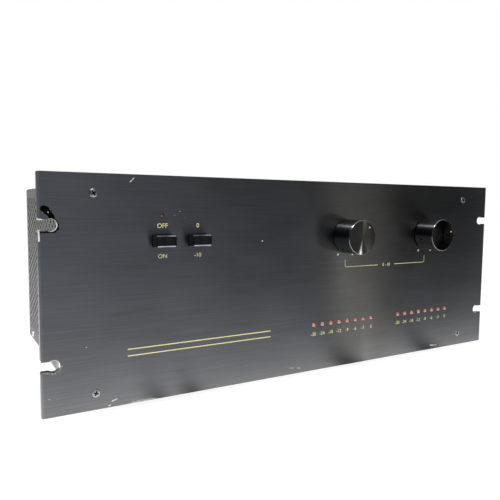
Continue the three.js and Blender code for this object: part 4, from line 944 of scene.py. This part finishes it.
def push_button():
    """A button about its own middle, with a face dished from side to side, and painted reflections as light
    metal strips on the bevel above and below its face.
    """
    low, high = span("power_button")
    front, back = low.y, low.y + BUTTON_DEPTH
    width, height = high.x - low.x, high.z - low.z
    shell = Shell()
    steps = [
        (0.55, 1.25, front + 0.14, 1.5), (0.4, 1.1, front, 1.5), (0.28, 0.95, front + 0.06, 1.45),
        (0.06, 0.1, front + 0.9, 1.0), (0, 0, front + 1.05, 0.9), (0, 0, front + 3.0, 0),
        (0, 0, back - 0.3, 0), (0.3, 0.3, back, 0),
    ]
    rings = [cap_ring(shell, width - 2 * dx, height - 2 * dz, y, dish) for dx, dz, y, dish in steps]
    bevel = 2

    # Kinds of the bevel's faces that carry painted reflections, those above first
    worn = dict.fromkeys(range(4, 14), 2) | dict.fromkeys(range(23, 33), 1)
    for i, (near, far) in enumerate(zip(rings, rings[1:])):
        for k in range(len(near)):
            m = (k + 1) % len(near)
            shell.kind = worn.get(k, 0) if i == bevel else 0
            shell.face((near[k], near[m], far[m], far[k]))
    shell.kind = 0
    face = rings[0]
    for k in range(10):
        shell.face((face[4 + k], face[5 + k], face[32 - k], face[33 - k]))
    shell.face(face[14:24])
    shell.face(face[33:] + face[:5])
    shell.face(rings[-1])
    stem = rounded(STEM_WIDTH, STEM_WIDTH, STEM_CORNER)
    plate(shell, layers(shell, stem, [(0, back - OVERRUN), (0, high.y)]))
    return shell.mesh("push_button", button_black, button_painted_reflection_low, button_painted_reflection_top, sharp=25)


button_mesh = push_button()
for button in ("power_button", "display_button"):
    stand_in(button, "cap", button_mesh, "button_black", body=button)


# Lamps
DOME_STEPS = 10
RIM_EASE = 0.1


def lamp(node, radius, rim, flange, name, material):
    """A lamp with a round dome and a flange behind the panel, about its own axis."""
    low, high = span(node)
    tip, seat = low.y, high.y - flange
    angles = [math.pi / 2 * k / DOME_STEPS for k in range(1, DOME_STEPS + 1)]
    profile = [(0, tip), *[(radius * math.sin(a), tip + radius * (1 - math.cos(a))) for a in angles]]
    profile += [(radius, seat), (rim, seat + RIM_EASE), (rim, high.y - RIM_EASE), (rim - RIM_EASE, high.y)]
    return lathe(name, [*profile, (0, high.y)], 32, material)


meter_mesh = lamp("left_meter_lamp_1", 2.4, 2.9, 1.0, "meter_lamp", lamp_red)
for node in METER_LAMPS:
    stand_in(node, "lens", meter_mesh, "lamp_red")
power_mesh = lamp("power_lamp", 1.45, 3.0, 6.0, "power_lamp", lamp_red_shaded)
stand_in("power_lamp", "lens", power_mesh, "lamp_red")


# Knobs
KNOB_RADIUS = 15.9
KNOB_CHAMFER = 0.36
KNOB_EASE = 0.06
KNOB_RECESS = 8.98
KNOB_BORE = 3.325
RECESS_DEPTH = 5.0
FACE_THICKNESS = 5.6
FACE_FALL = 0.2
POINTER_TURN = {"left": 42.0, "right": 74.0}
POINTER_RADIUS = 12.5
POINTER_SIZE = 0.95
SET_SCREW_PLACE = (0, -8.5, 0)
SET_SCREW_HOLE = 1.5
SET_SCREW_END = -11.5
SET_SCREW = [(0, -12.4), (0.62, -12.4), (0.62, -14.0), (1.2, -14.1), (1.4, -13.9), (1.4, -11.6), (0, -11.6)]


def knob():
    """A turned knob about its shaft, with a dimple for its pointer at the top and a set screw below."""
    low, high = span("left_level_knob")
    front, back = low.y, high.y
    radius, chamfer, ease = KNOB_RADIUS, KNOB_CHAMFER, KNOB_EASE
    crown = front + FACE_FALL
    floor = back - RECESS_DEPTH
    profile = [
        (0, front, 1), (0.6, front + 0.004), (0.4 * radius, front + 0.03), (0.7 * radius, front + 0.1),
        (radius - chamfer - ease, crown, 2), (radius - chamfer, crown + 0.4 * ease),
        (radius - 0.4 * ease, crown + chamfer), (radius, crown + chamfer + ease, 0),
        (radius, back - chamfer - ease, 2), (radius - 0.4 * ease, back - chamfer),
        (radius - chamfer, back - 0.4 * ease), (radius - chamfer - ease, back, 0),
        (KNOB_RECESS + 0.3, back), (KNOB_RECESS, back - 0.3), (KNOB_RECESS, floor), (KNOB_BORE, floor),
        (KNOB_BORE, front + FACE_THICKNESS), (0, front + FACE_THICKNESS),
    ]
    mesh = lathe("level_knob", profile, 128, knob_side, knob_face, knob_edge, pale_paint, recess_shade)
    dimple = [(0, front + 0.32, 3), (0.6 * POINTER_SIZE, front + 0.26), (POINTER_SIZE, front)]
    dimple += [(POINTER_SIZE, front - OVERRUN), (0, front - OVERRUN)]
    mesh = cut_away(mesh, lathe("dimple", dimple, 24, centre=(0, 0, POINTER_RADIUS)))
    outside = -radius - OVERRUN
    bore = [(0, outside, 4), (SET_SCREW_HOLE, outside), (SET_SCREW_HOLE, SET_SCREW_END), (0, SET_SCREW_END)]
    return cut_away(mesh, lathe("bore", bore, 24, centre=SET_SCREW_PLACE, axis="Z"))


knob_mesh = knob()
set_screw_mesh = lathe("set_screw", SET_SCREW, 6, steel, centre=SET_SCREW_PLACE, axis="Z")
for side, place in CHANNELS.items():
    knob_node = f"{side}_level_knob"
    settings = dict(body=f"{side}_level_control", at=(place.x, 0, place.z), turn=POINTER_TURN[side])
    piece(f"{side}_knob_turned", knob_mesh, slot="knob_black", replaces=[knob_node], **settings)
    piece(f"{side}_set_screw", set_screw_mesh, slot="shaft_steel", **settings)


# Perforated cover
HOLE_RADIUS = 2.38
HOLE_SIDES = 12
HALF_PITCH = 3.96875
COLUMN_PITCH = 6.874
COLUMNS = 34
SIDE_ROWS = 37
TOP_ROWS = 101
SIDE_MARGIN = 9.0
REAR_MARGIN = 6.5
BEND_RADIUS = 2.5
BEND_STEPS = 6
SHEET = 1.2

# Corners of the six faces round a hole: steps along the section and steps back
HOLE_BORDER = [(1, 1), (2, 1), (2, 0), (1, 0), (0, 0), (0, 1)]


def perforated_cover():
    """A sheet folded over the case, punched with round holes in staggered columns."""
    low, high = span("perforated_cover")
    half, rise = high.x - BEND_RADIUS, high.z - low.z - BEND_RADIUS
    bend = BEND_RADIUS * math.pi / 2
    total = 2 * (rise + bend + half)

    def section(s):
        """The outer surface's x and z and its outward direction, s along from the lower left edge."""
        if s > rise + bend + half:
            x, z, nx, nz = section(total - s)
            return -x, z, -nx, nz
        if s <= rise:
            return -high.x, low.z + s, -1.0, 0.0
        if s < rise + bend:
            angle = math.pi - (s - rise) / BEND_RADIUS
            nx, nz = math.cos(angle), math.sin(angle)
            return -half + BEND_RADIUS * nx, low.z + rise + BEND_RADIUS * nz, nx, nz
        return -half + (s - rise - bend), high.z, 0.0, 1.0

    def point(s, y, depth):
        x, z, nx, nz = section(s)
        return (x - nx * depth, y, z - nz * depth)

    top_margin = half - TOP_ROWS * HALF_PITCH / 2
    side = [SIDE_MARGIN + HALF_PITCH * k for k in range(SIDE_ROWS + 1)]
    turn = [rise + bend * k / BEND_STEPS for k in range(BEND_STEPS + 1)]
    top = [rise + bend + top_margin + HALF_PITCH * k for k in range(TOP_ROWS + 1)]
    left = [0.0, *side, *turn]
    stops = [*left, *top, *[total - s for s in reversed(left)]]
    first_rows = {1: SIDE_ROWS, len(left): TOP_ROWS, len(stops) - 1 - len(side): SIDE_ROWS}
    last_y = high.y - REAR_MARGIN
    columns = [last_y - COLUMN_PITCH * (COLUMNS - k) for k in range(COLUMNS + 1)]
    depths = [low.y, *columns, high.y]
    last_i, last_j = len(stops) - 1, len(depths) - 1

    shell = Shell()
    grids = []
    for depth in (0.0, SHEET):
        grids.append([shell.ring(point(s, y, depth) for y in depths) for s in stops])
    punched = set()
    for first, rows in first_rows.items():
        for column in range(COLUMNS):
            for row in range(column % 2, rows - 1, 2):
                i, j = first + row, column + 1
                punched.update({(i, j), (i + 1, j)})
                outline = circle((depths[j] + depths[j + 1]) / 2, stops[i + 1], HOLE_RADIUS, HOLE_SIDES)
                rings = []
                for grid, depth in zip(grids, (0.0, SHEET)):
                    ring = shell.ring(point(s, y, depth) for y, s in outline)
                    border = [grid[i + along][j + back] for along, back in HOLE_BORDER]
                    for k, corner in enumerate(border):
                        a, b, c = ring[2 * k], ring[2 * k + 1], ring[(2 * k + 2) % HOLE_SIDES]
                        shell.face((corner, border[(k + 1) % len(border)], c, b, a))
                    rings.append(ring)
                shell.bridge(*rings)
    for i in range(last_i):
        for j in range(last_j):
            if (i, j) not in punched:
                for grid in grids:
                    shell.face((grid[i][j], grid[i + 1][j], grid[i + 1][j + 1], grid[i][j + 1]))
    outer, inner = grids
    for i in range(last_i):
        for j in (0, last_j):
            shell.face((outer[i][j], outer[i + 1][j], inner[i + 1][j], inner[i][j]))
    for j in range(last_j):
        for i in (0, last_i):
            shell.face((outer[i][j], outer[i][j + 1], inner[i][j + 1], inner[i][j]))
    return shell.mesh("perforated_cover", case_black, sharp=40)


piece("cover_punched", perforated_cover(), slot="case_black", replaces=["perforated_cover"])


# Cover screws
SIDE_SCREWS = (24.0, 124.0, 224.0)
SIDE_SCREW_Z = 11.0
REAR_SCREWS = (-195.0, -66.0, 66.0, 195.0)
REAR_SCREW_INSET = 3.4
PAN_PROFILE = [(0, -1.5), (1.3, -1.42), (2.3, -1.1), (2.8, -0.55), (2.9, 0), (1.4, 0), (1.4, 5), (0, 5)]
PAN_CROSS = (1.5, 0.35)
PAN_CROSS_FLOOR = -0.5


def pan_head():
    """A pan-head screw about y, its seat at y = 0 and its head towards -y."""
    mesh = lathe("pan_head", PAN_PROFILE, 28, screw_plate)
    for wide, high in (PAN_CROSS, PAN_CROSS[::-1]):
        mesh = cut_away(mesh, block(-wide, wide, -2, PAN_CROSS_FLOOR, -high, high))
    return mesh


pan_mesh = pan_head()


def fasten(name, place, towards):
    """A pan-head screw whose head points in a direction."""
    screw = piece(name, pan_mesh, at=place, slot="screw_plate")
    screw.rotation_mode = "QUATERNION"
    screw.rotation_quaternion = Vector(towards).rotation_difference(Vector((0, -1, 0))).inverted()
    bpy.context.view_layer.update()


cover_low, cover_high = span("perforated_cover")
for hand, side, x in (("left", -1, cover_low.x), ("right", 1, cover_high.x)):
    for i, y in enumerate(SIDE_SCREWS, 1):
        fasten(f"{hand}_cover_screw_{i}", (x, y, SIDE_SCREW_Z), (side, 0, 0))
for i, x in enumerate(REAR_SCREWS, 1):
    fasten(f"rear_cover_screw_{i}", (x, cover_high.y - REAR_SCREW_INSET, cover_high.z), (0, 0, 1))


# Rubber feet, each with a screw up its middle
FOOT_SCREW_SEAT = 3.9
FOOT_SCREW_HOLE = 4.0
FOOT_PROFILE = [(0, FOOT_SCREW_SEAT), (FOOT_SCREW_HOLE, FOOT_SCREW_SEAT), (FOOT_SCREW_HOLE, 0.4), (4.4, 0)]
FOOT_PROFILE += [(8.0, 0), (8.4, 0.15), (8.6, 0.6), (9.9, 8.9), (9.9, 9.3), (9.7, 9.5), (0, 9.5)]

foot_mesh = lathe("rubber_foot", FOOT_PROFILE, 48, foot_rubber, axis="Z")
for node in [f"{end}_{side}_foot" for end in ("front", "back") for side in ("left", "right")]:
    x, y, _ = middle(node)
    z = span(node)[0].z
    piece(f"{node}_rubber", foot_mesh, at=(x, y, z), slot="foot_rubber", replaces=[node])
    fasten(f"{node}_screw", (x, y, z + FOOT_SCREW_SEAT), (0, 0, -1))


# Heatsinks
FIN_COUNT = 13
FIN_THICKNESS = 2.2
FIN_TIP = 0.9 * FIN_THICKNESS / 2
HEATSINK_BASE = 6.0
HEATSINK_EASE = 0.2


def heatsink():
    """An extruded plate with upright fins, about its middle, drawn in plan and pushed up."""
    low, high = span("left_heatsink")
    half, depth, height = (high.x - low.x) / 2, high.y - low.y, high.z - low.z
    pitch = (2 * half - FIN_THICKNESS) / (FIN_COUNT - 1)
    fins = []
    for i in reversed(range(FIN_COUNT)):
        x = -half + i * pitch
        tip = arc(x + FIN_THICKNESS / 2, depth - FIN_TIP, FIN_TIP, 0, 180, 4)
        fins += [(x + FIN_THICKNESS, HEATSINK_BASE), *tip, (x, HEATSINK_BASE)]
    plan = [(-half, 0), (half, 0), *fins[1:-1]]
    ease = HEATSINK_EASE
    steps = ((ease, 0), (0, ease), (0, height - ease), (ease, height))
    shell = Shell()
    rings = [shell.ring((x, y, z) for x, y in inset(plan, draw)) for draw, z in steps]
    for near, far in zip(rings, rings[1:]):
        shell.bridge(near, far)
    for ring in (rings[0], rings[-1]):
        flat = [shell.points[c][:2] for c in ring]
        for triangle in tessellate_polygon([flat]):
            shell.face(ring[k] for k in triangle)
    return shell.mesh("heatsink", heatsink_black)


heatsink_mesh = heatsink()
for node in ("left_heatsink", "right_heatsink"):
    low, _ = span(node)
    at = (middle(node).x, low.y, low.z)
    piece(f"{node}_finned", heatsink_mesh, at=at, slot="heatsink_black", replaces=[node])


# Rear connectors
TERMINAL_CAPS = ["left_black", "left_red", "right_black", "right_red"]
TERMINAL_PLATE = 3.0
TERMINAL_SCREWS = {"left": -46.0, "right": 46.0}
TERMINAL_SCREW_RISE = 11.0
PLATE_GAP = 0.3
STUD = 2.0

# Socket, its insulator and its barrel's mouth
JACK_FRONT = [(0, 0), (4.5, 0), (4.75, 0.3)]
JACK_BACK = [
    (4.75, 12.0), (7.3, 12.0), (7.5, 11.7), (7.5, 10.2), (7.3, 10.0), (4.15, 10.0), (4.15, 0.3), (3.9, 0, 0),
    (3.5, 0.1, 1), (3.4, 0.5), (1.75, 0.4, 0), (1.6, 0.6), (1.6, 9.0), (0, 9.0),
]
jack_mesh = turned_part("left_input_jack", JACK_FRONT, JACK_BACK, 40, nickel, insulator_white)
for node in ("left_input_jack", "right_input_jack"):
    stand_in(node, "plated", jack_mesh, "jack_metal")


def terminal_block():
    """The terminals' plate and studs."""
    low, high = span("speaker_terminal_block")
    seat = span("rear_panel")[1].y + PLATE_GAP
    z = (low.z + high.z) / 2
    shell = Shell()
    outline = rounded(high.x - low.x, high.z - low.z, 3, 0, z)
    slab(shell, outline, seat, seat + TERMINAL_PLATE, 0.4)
    stud = [
        (0, low.y, 1), (1.8, low.y), (STUD, low.y + 0.3), (STUD, seat + 2, 0), (6.0, seat + 2),
        (6.0, seat + 6.6), (5.6, seat + 7, 1), (STUD, seat + 7), (STUD, high.y - 0.3), (1.7, high.y),
        (0, high.y),
    ]
    for cap in TERMINAL_CAPS:
        turned(shell, stud, 32, (middle(f"{cap}_terminal_cap").x, 0, z))
    return shell.mesh("terminal_block", moulding_black, nickel)


def terminal_cap(colour, name):
    """A fluted cap about y."""
    low, high = span("left_black_terminal_cap")
    front, back = low.y, high.y
    sides = 96
    shell = Shell()
    profile = [
        (2.3, front + 12.0), (2.3, front), (5.2, front), (5.75, front + 0.5), (5.75, back - 1.2),
        (5.4, back - 0.5), (4.7, back), (0, back),
    ]
    turned(shell, profile, sides, flutes=24, flute=0.35)
    shell.face(range(sides))
    return shell.mesh(name, colour, sharp=50)


piece("terminal_block_studs", terminal_block(), slot="moulding_black", replaces=["speaker_terminal_block"])
CAP_MESHES = {
    "black": terminal_cap(moulding_black, "black_cap"),
    "red": terminal_cap(moulding_red, "red_cap"),
}
for cap in TERMINAL_CAPS:
    node = f"{cap}_terminal_cap"
    colour = cap.split("_")[1]
    stand_in(node, "fluted", CAP_MESHES[colour], f"moulding_{colour}", body=node)


# Fuse holder, its slotted cap and the cord gland, whose bore runs right through
HOLDER_FRONT = [(0, 0), (6.0, 0), (6.2, 0.3)]
HOLDER_BACK = [
    (6.2, 3.0), (8.8, 3.0), (9.0, 2.7), (9.0, 0.6), (8.4, 0), (4.3, 0), (4.0, 0.3), (4.0, 28.0), (0, 28.0),
]
CAP_FRONT = [(0, 0, 1), (3.5, 0), (3.7, 0.3)]
CAP_BACK = [(3.7, 9.0, 0), (6.6, 9.0), (7.0, 8.6), (7.0, 1.2), (6.7, 0.4), (6.1, 0), (0, 0)]
GLAND_FRONT = [(4.2, 0), (7.0, 0), (8.0, 3.0), (7.0, 3.0)]
GLAND_BACK = [(7.0, 4.0), (8.8, 4.0), (9.0, 3.7), (9.0, 0.8), (8.5, 0.2), (8.0, 0), (5.0, 0), (4.5, 0.3)]
gland_low, gland_high = span("cord_gland")
GLAND_BACK += [(4.2, 1.0), (4.2, gland_high.y - gland_low.y)]

holder_mesh = turned_part("fuse_holder", HOLDER_FRONT, HOLDER_BACK, 48, moulding_black)
stand_in("fuse_holder", "moulded", holder_mesh, "moulding_black")
cap_mesh = turned_part("fuse_cap", CAP_FRONT, CAP_BACK, 96, moulding_black, nickel, sharp=40)
cap_end = span("fuse_cap")[1].y
cap_mesh = cut_away(cap_mesh, block(-8, 8, cap_end - 2, cap_end + OVERRUN, -0.8, 0.8), sharp=40)
stand_in("fuse_cap", "moulded", cap_mesh, "moulding_black", body="fuse_cap")
gland_mesh = turned_part("cord_gland", GLAND_FRONT, GLAND_BACK, 48, moulding_black)
stand_in("cord_gland", "moulded", gland_mesh, "moulding_black")

screw_y = span("rear_panel")[1].y + PLATE_GAP + TERMINAL_PLATE
screw_z = middle("speaker_terminal_block").z + TERMINAL_SCREW_RISE
for hand, x in TERMINAL_SCREWS.items():
    fasten(f"{hand}_terminal_screw", (x, screw_y, screw_z), (0, 1, 0))


# Studio
FLOOR_WHITE = 1.26
FLOOR_GLOW = 0.7
FLOOR_NEAR = 1.4
FLOOR_REACH = 0.17
FLOOR_HALF = 12.0
FLOOR_MATT = (0.86, 0.86, 0.86)
FILL_LEVEL = 0.55

# How bright the room is that the panel mirrors: sine of the angle across, half the turn's width, change
ROOM = [
    (0.0, 0.15, 0.24), (0.26, 0.04, -0.065), (0.43, 0.05, -0.10), (0.678, 0.003, 1.0), (0.686, 0.003, -1.0),
    (0.714, 0.012, -0.10), (0.815, 0.005, 0.14),
]
ROOM_START = 0.03
ROOM_CEILING = 0.55

# The room's middle on the table, in panel millimetres across and back
ROOM_MIDDLE = (-303.062, -396.855)
COOL = (0.90, 0.97, 1.12)
WARM = (1.05, 1.02, 0.92)
NEUTRAL = (1.0, 1.0, 1.0)

# How the knobs and buttons shade the table: the shade's shift across in millimetres, and its depth
CONTROL_SHADES = {
    "left_level_knob": (19.0, 0.9), "right_level_knob": (25.0, 0.85),
    "power_button": (-1.0, 0.85), "display_button": (0.0, 0.9),
}
SHADE_SOFT = 0.011
SHADE_REACH = 0.03


def room(x, y):
    """The sine of the angle across towards x, y, and how bright the room is there. The panel faces -y."""
    across = x / (x * x + y * y).root().most(0.001)
    level = ROOM_START
    for place, width, change in ROOM:
        level = across.ramp(place - width, place + width, 0.0, change) + level
    return across, level.most(y.ramp(-0.1, 0.3))


def room_tint(paint, across, y):
    cool = paint.mix(across.ramp(0.4, 1.2).most(y.ramp(-0.3, 0.0)), COOL, NEUTRAL)
    warm = across.ramp(0.60, 0.66) * across.ramp(0.74, 0.70)
    return paint.mix(warm, cool, WARM)


def ray_kinds(paint):
    """Whether a ray comes straight from the camera or through glass, and whether a surface mirrors it."""
    path = paint.node("ShaderNodeLightPath")
    outputs = [path.outputs[f"Is {kind} Ray"] for kind in ("Camera", "Glossy", "Transmission")]
    seen, mirrored, through = [Field(paint.tree, output) for output in outputs]
    return seen.most(through), mirrored


def under_controls(x, ahead):
    """How much the knobs and buttons shade the table below them. All in metres."""
    spots = []
    for node, (shift, depth) in CONTROL_SHADES.items():
        low, high = span(node)
        half = (high.x - low.x) / 2 * MM
        centre = ORIGIN.x + (middle(node).x + shift) * MM
        aside = (x - centre).size().ramp(half + SHADE_SOFT, half - SHADE_SOFT)
        spots.append(aside * ahead.ramp(-low.y * MM + SHADE_REACH, -low.y * MM, 0.0, depth))
    return most_of(spots)


def add_floor():
    """A white floor that keeps the object's shadow and is brightest close to the panel."""
    paint = Paint("floor")
    tree = paint.tree
    seen, mirrored = ray_kinds(paint)
    x, y, _ = paint.split("ShaderNodeNewGeometry", "Position")
    ahead = (ORIGIN.y - y).most(0.0)
    across, far = room(x - ROOM_MIDDLE[0] * MM, y - ORIGIN.y + ROOM_MIDDLE[1] * MM)
    near = (ahead * across.ramp(0.4, 0.8, -1.05 / FLOOR_REACH, -1.7 / FLOOR_REACH)).exp()
    bright = (far + (FLOOR_NEAR - far) * near) * (1.0 - under_controls(x, ahead))
    tint = paint.mix(near.most(seen), room_tint(paint, across, y), NEUTRAL)
    strength = seen * FLOOR_WHITE + (1.0 - seen) * bright
    share = seen * FLOOR_GLOW + (1.0 - seen) * mirrored
    glow = paint.node("ShaderNodeEmission", Color=tint, Strength=strength)
    matt = paint.node("ShaderNodeBsdfDiffuse", Color=FLOOR_MATT)
    mix = paint.node("ShaderNodeMixShader", Fac=share)
    tree.links.new(matt.outputs[0], mix.inputs[1])
    tree.links.new(glow.outputs[0], mix.inputs[2])
    tree.links.new(mix.outputs[0], tree.nodes["Material Output"].inputs["Surface"])
    tree.nodes.remove(paint.shader)
    paint.material.cycles.emission_sampling = "NONE"
    mesh = bpy.data.meshes.new("floor")
    reach = FLOOR_HALF
    corners = [(-reach, -reach, 0), (reach, -reach, 0), (reach, reach, 0), (-reach, reach, 0)]
    mesh.from_pydata(corners, [], [(0, 1, 2, 3)])
    mesh.materials.append(paint.material)
    floor = in_scene("floor", mesh)
    floor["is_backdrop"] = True


def add_surroundings():
    """A white background, and to mirrored rays a graded room."""
    paint = Paint("surroundings", world=True)
    seen, mirrored = ray_kinds(paint)
    x, y, z = paint.split("ShaderNodeTexCoord", "Generated")
    across, level = room(x, y)
    unseen = mirrored * level.most(z.ramp(0.5, 0.85, 0.0, ROOM_CEILING)) + (1.0 - mirrored) * FILL_LEVEL
    background = paint.tree.nodes["Background"]
    plug(paint.tree, background.inputs["Strength"], seen + (1.0 - seen) * unseen)
    plug(paint.tree, background.inputs["Color"], paint.mix(mirrored, NEUTRAL, room_tint(paint, across, y)))
    paint.material.cycles.sampling_method = "NONE"
    bpy.context.scene.world = paint.material


def area_light(name, place, target, width, height, power):
    data = bpy.data.lights.new(name, "AREA")
    data.shape = "RECTANGLE"
    data.size = width
    data.size_y = height
    data.energy = power
    holder = in_scene(name, data)
    holder.visible_camera = False
    holder.location = place
    holder.rotation_euler = (Vector(target) - Vector(place)).to_track_quat("-Z", "Y").to_euler()


add_floor()
add_surroundings()
area_light("overhead", (-0.55, -0.15, 1.35), (0, -0.1, 0.1), 1.0, 0.25, 12.0)
area_light("window", (-0.5, -1.5, 1.9), (0, 0, 0.1), 0.7, 0.3, 12.0)
area_light("table_glint", (0.369, -0.530, 0.042), (0.036, -0.157, 0.13), 0.007, 0.04, 0.011)


# Camera, solved from the photograph
CAMERA_PLACE = (-303.062, -396.855, 155.367)
FOCAL_PIXELS = 538.29
PICTURE_PIXELS = 500
CAMERA_YAW = 0.5310372
CAMERA_PITCH = 0.0848146
CAMERA_ROLL = -0.0105298


def place_camera():
    data = bpy.data.cameras.new("camera")
    data.sensor_fit = "HORIZONTAL"
    data.lens = FOCAL_PIXELS / PICTURE_PIXELS * data.sensor_width
    data.clip_start = 0.01
    camera = in_scene("camera", data)
    camera.matrix_world = Matrix.Translation(ORIGIN + Vector(CAMERA_PLACE) * MM)
    for angle, axis in ((-CAMERA_YAW, "Z"), (math.pi / 2 - CAMERA_PITCH, "X"), (-CAMERA_ROLL, "Z")):
        camera.matrix_world @= Matrix.Rotation(angle, 4, axis)
    bpy.context.scene.camera = camera


place_camera()
bpy.context.scene.view_settings.view_transform = "Standard"

boxes = {"cad": cad_bounds, "visual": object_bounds()}
{name: [list(corner) for corner in box] for name, box in boxes.items()}
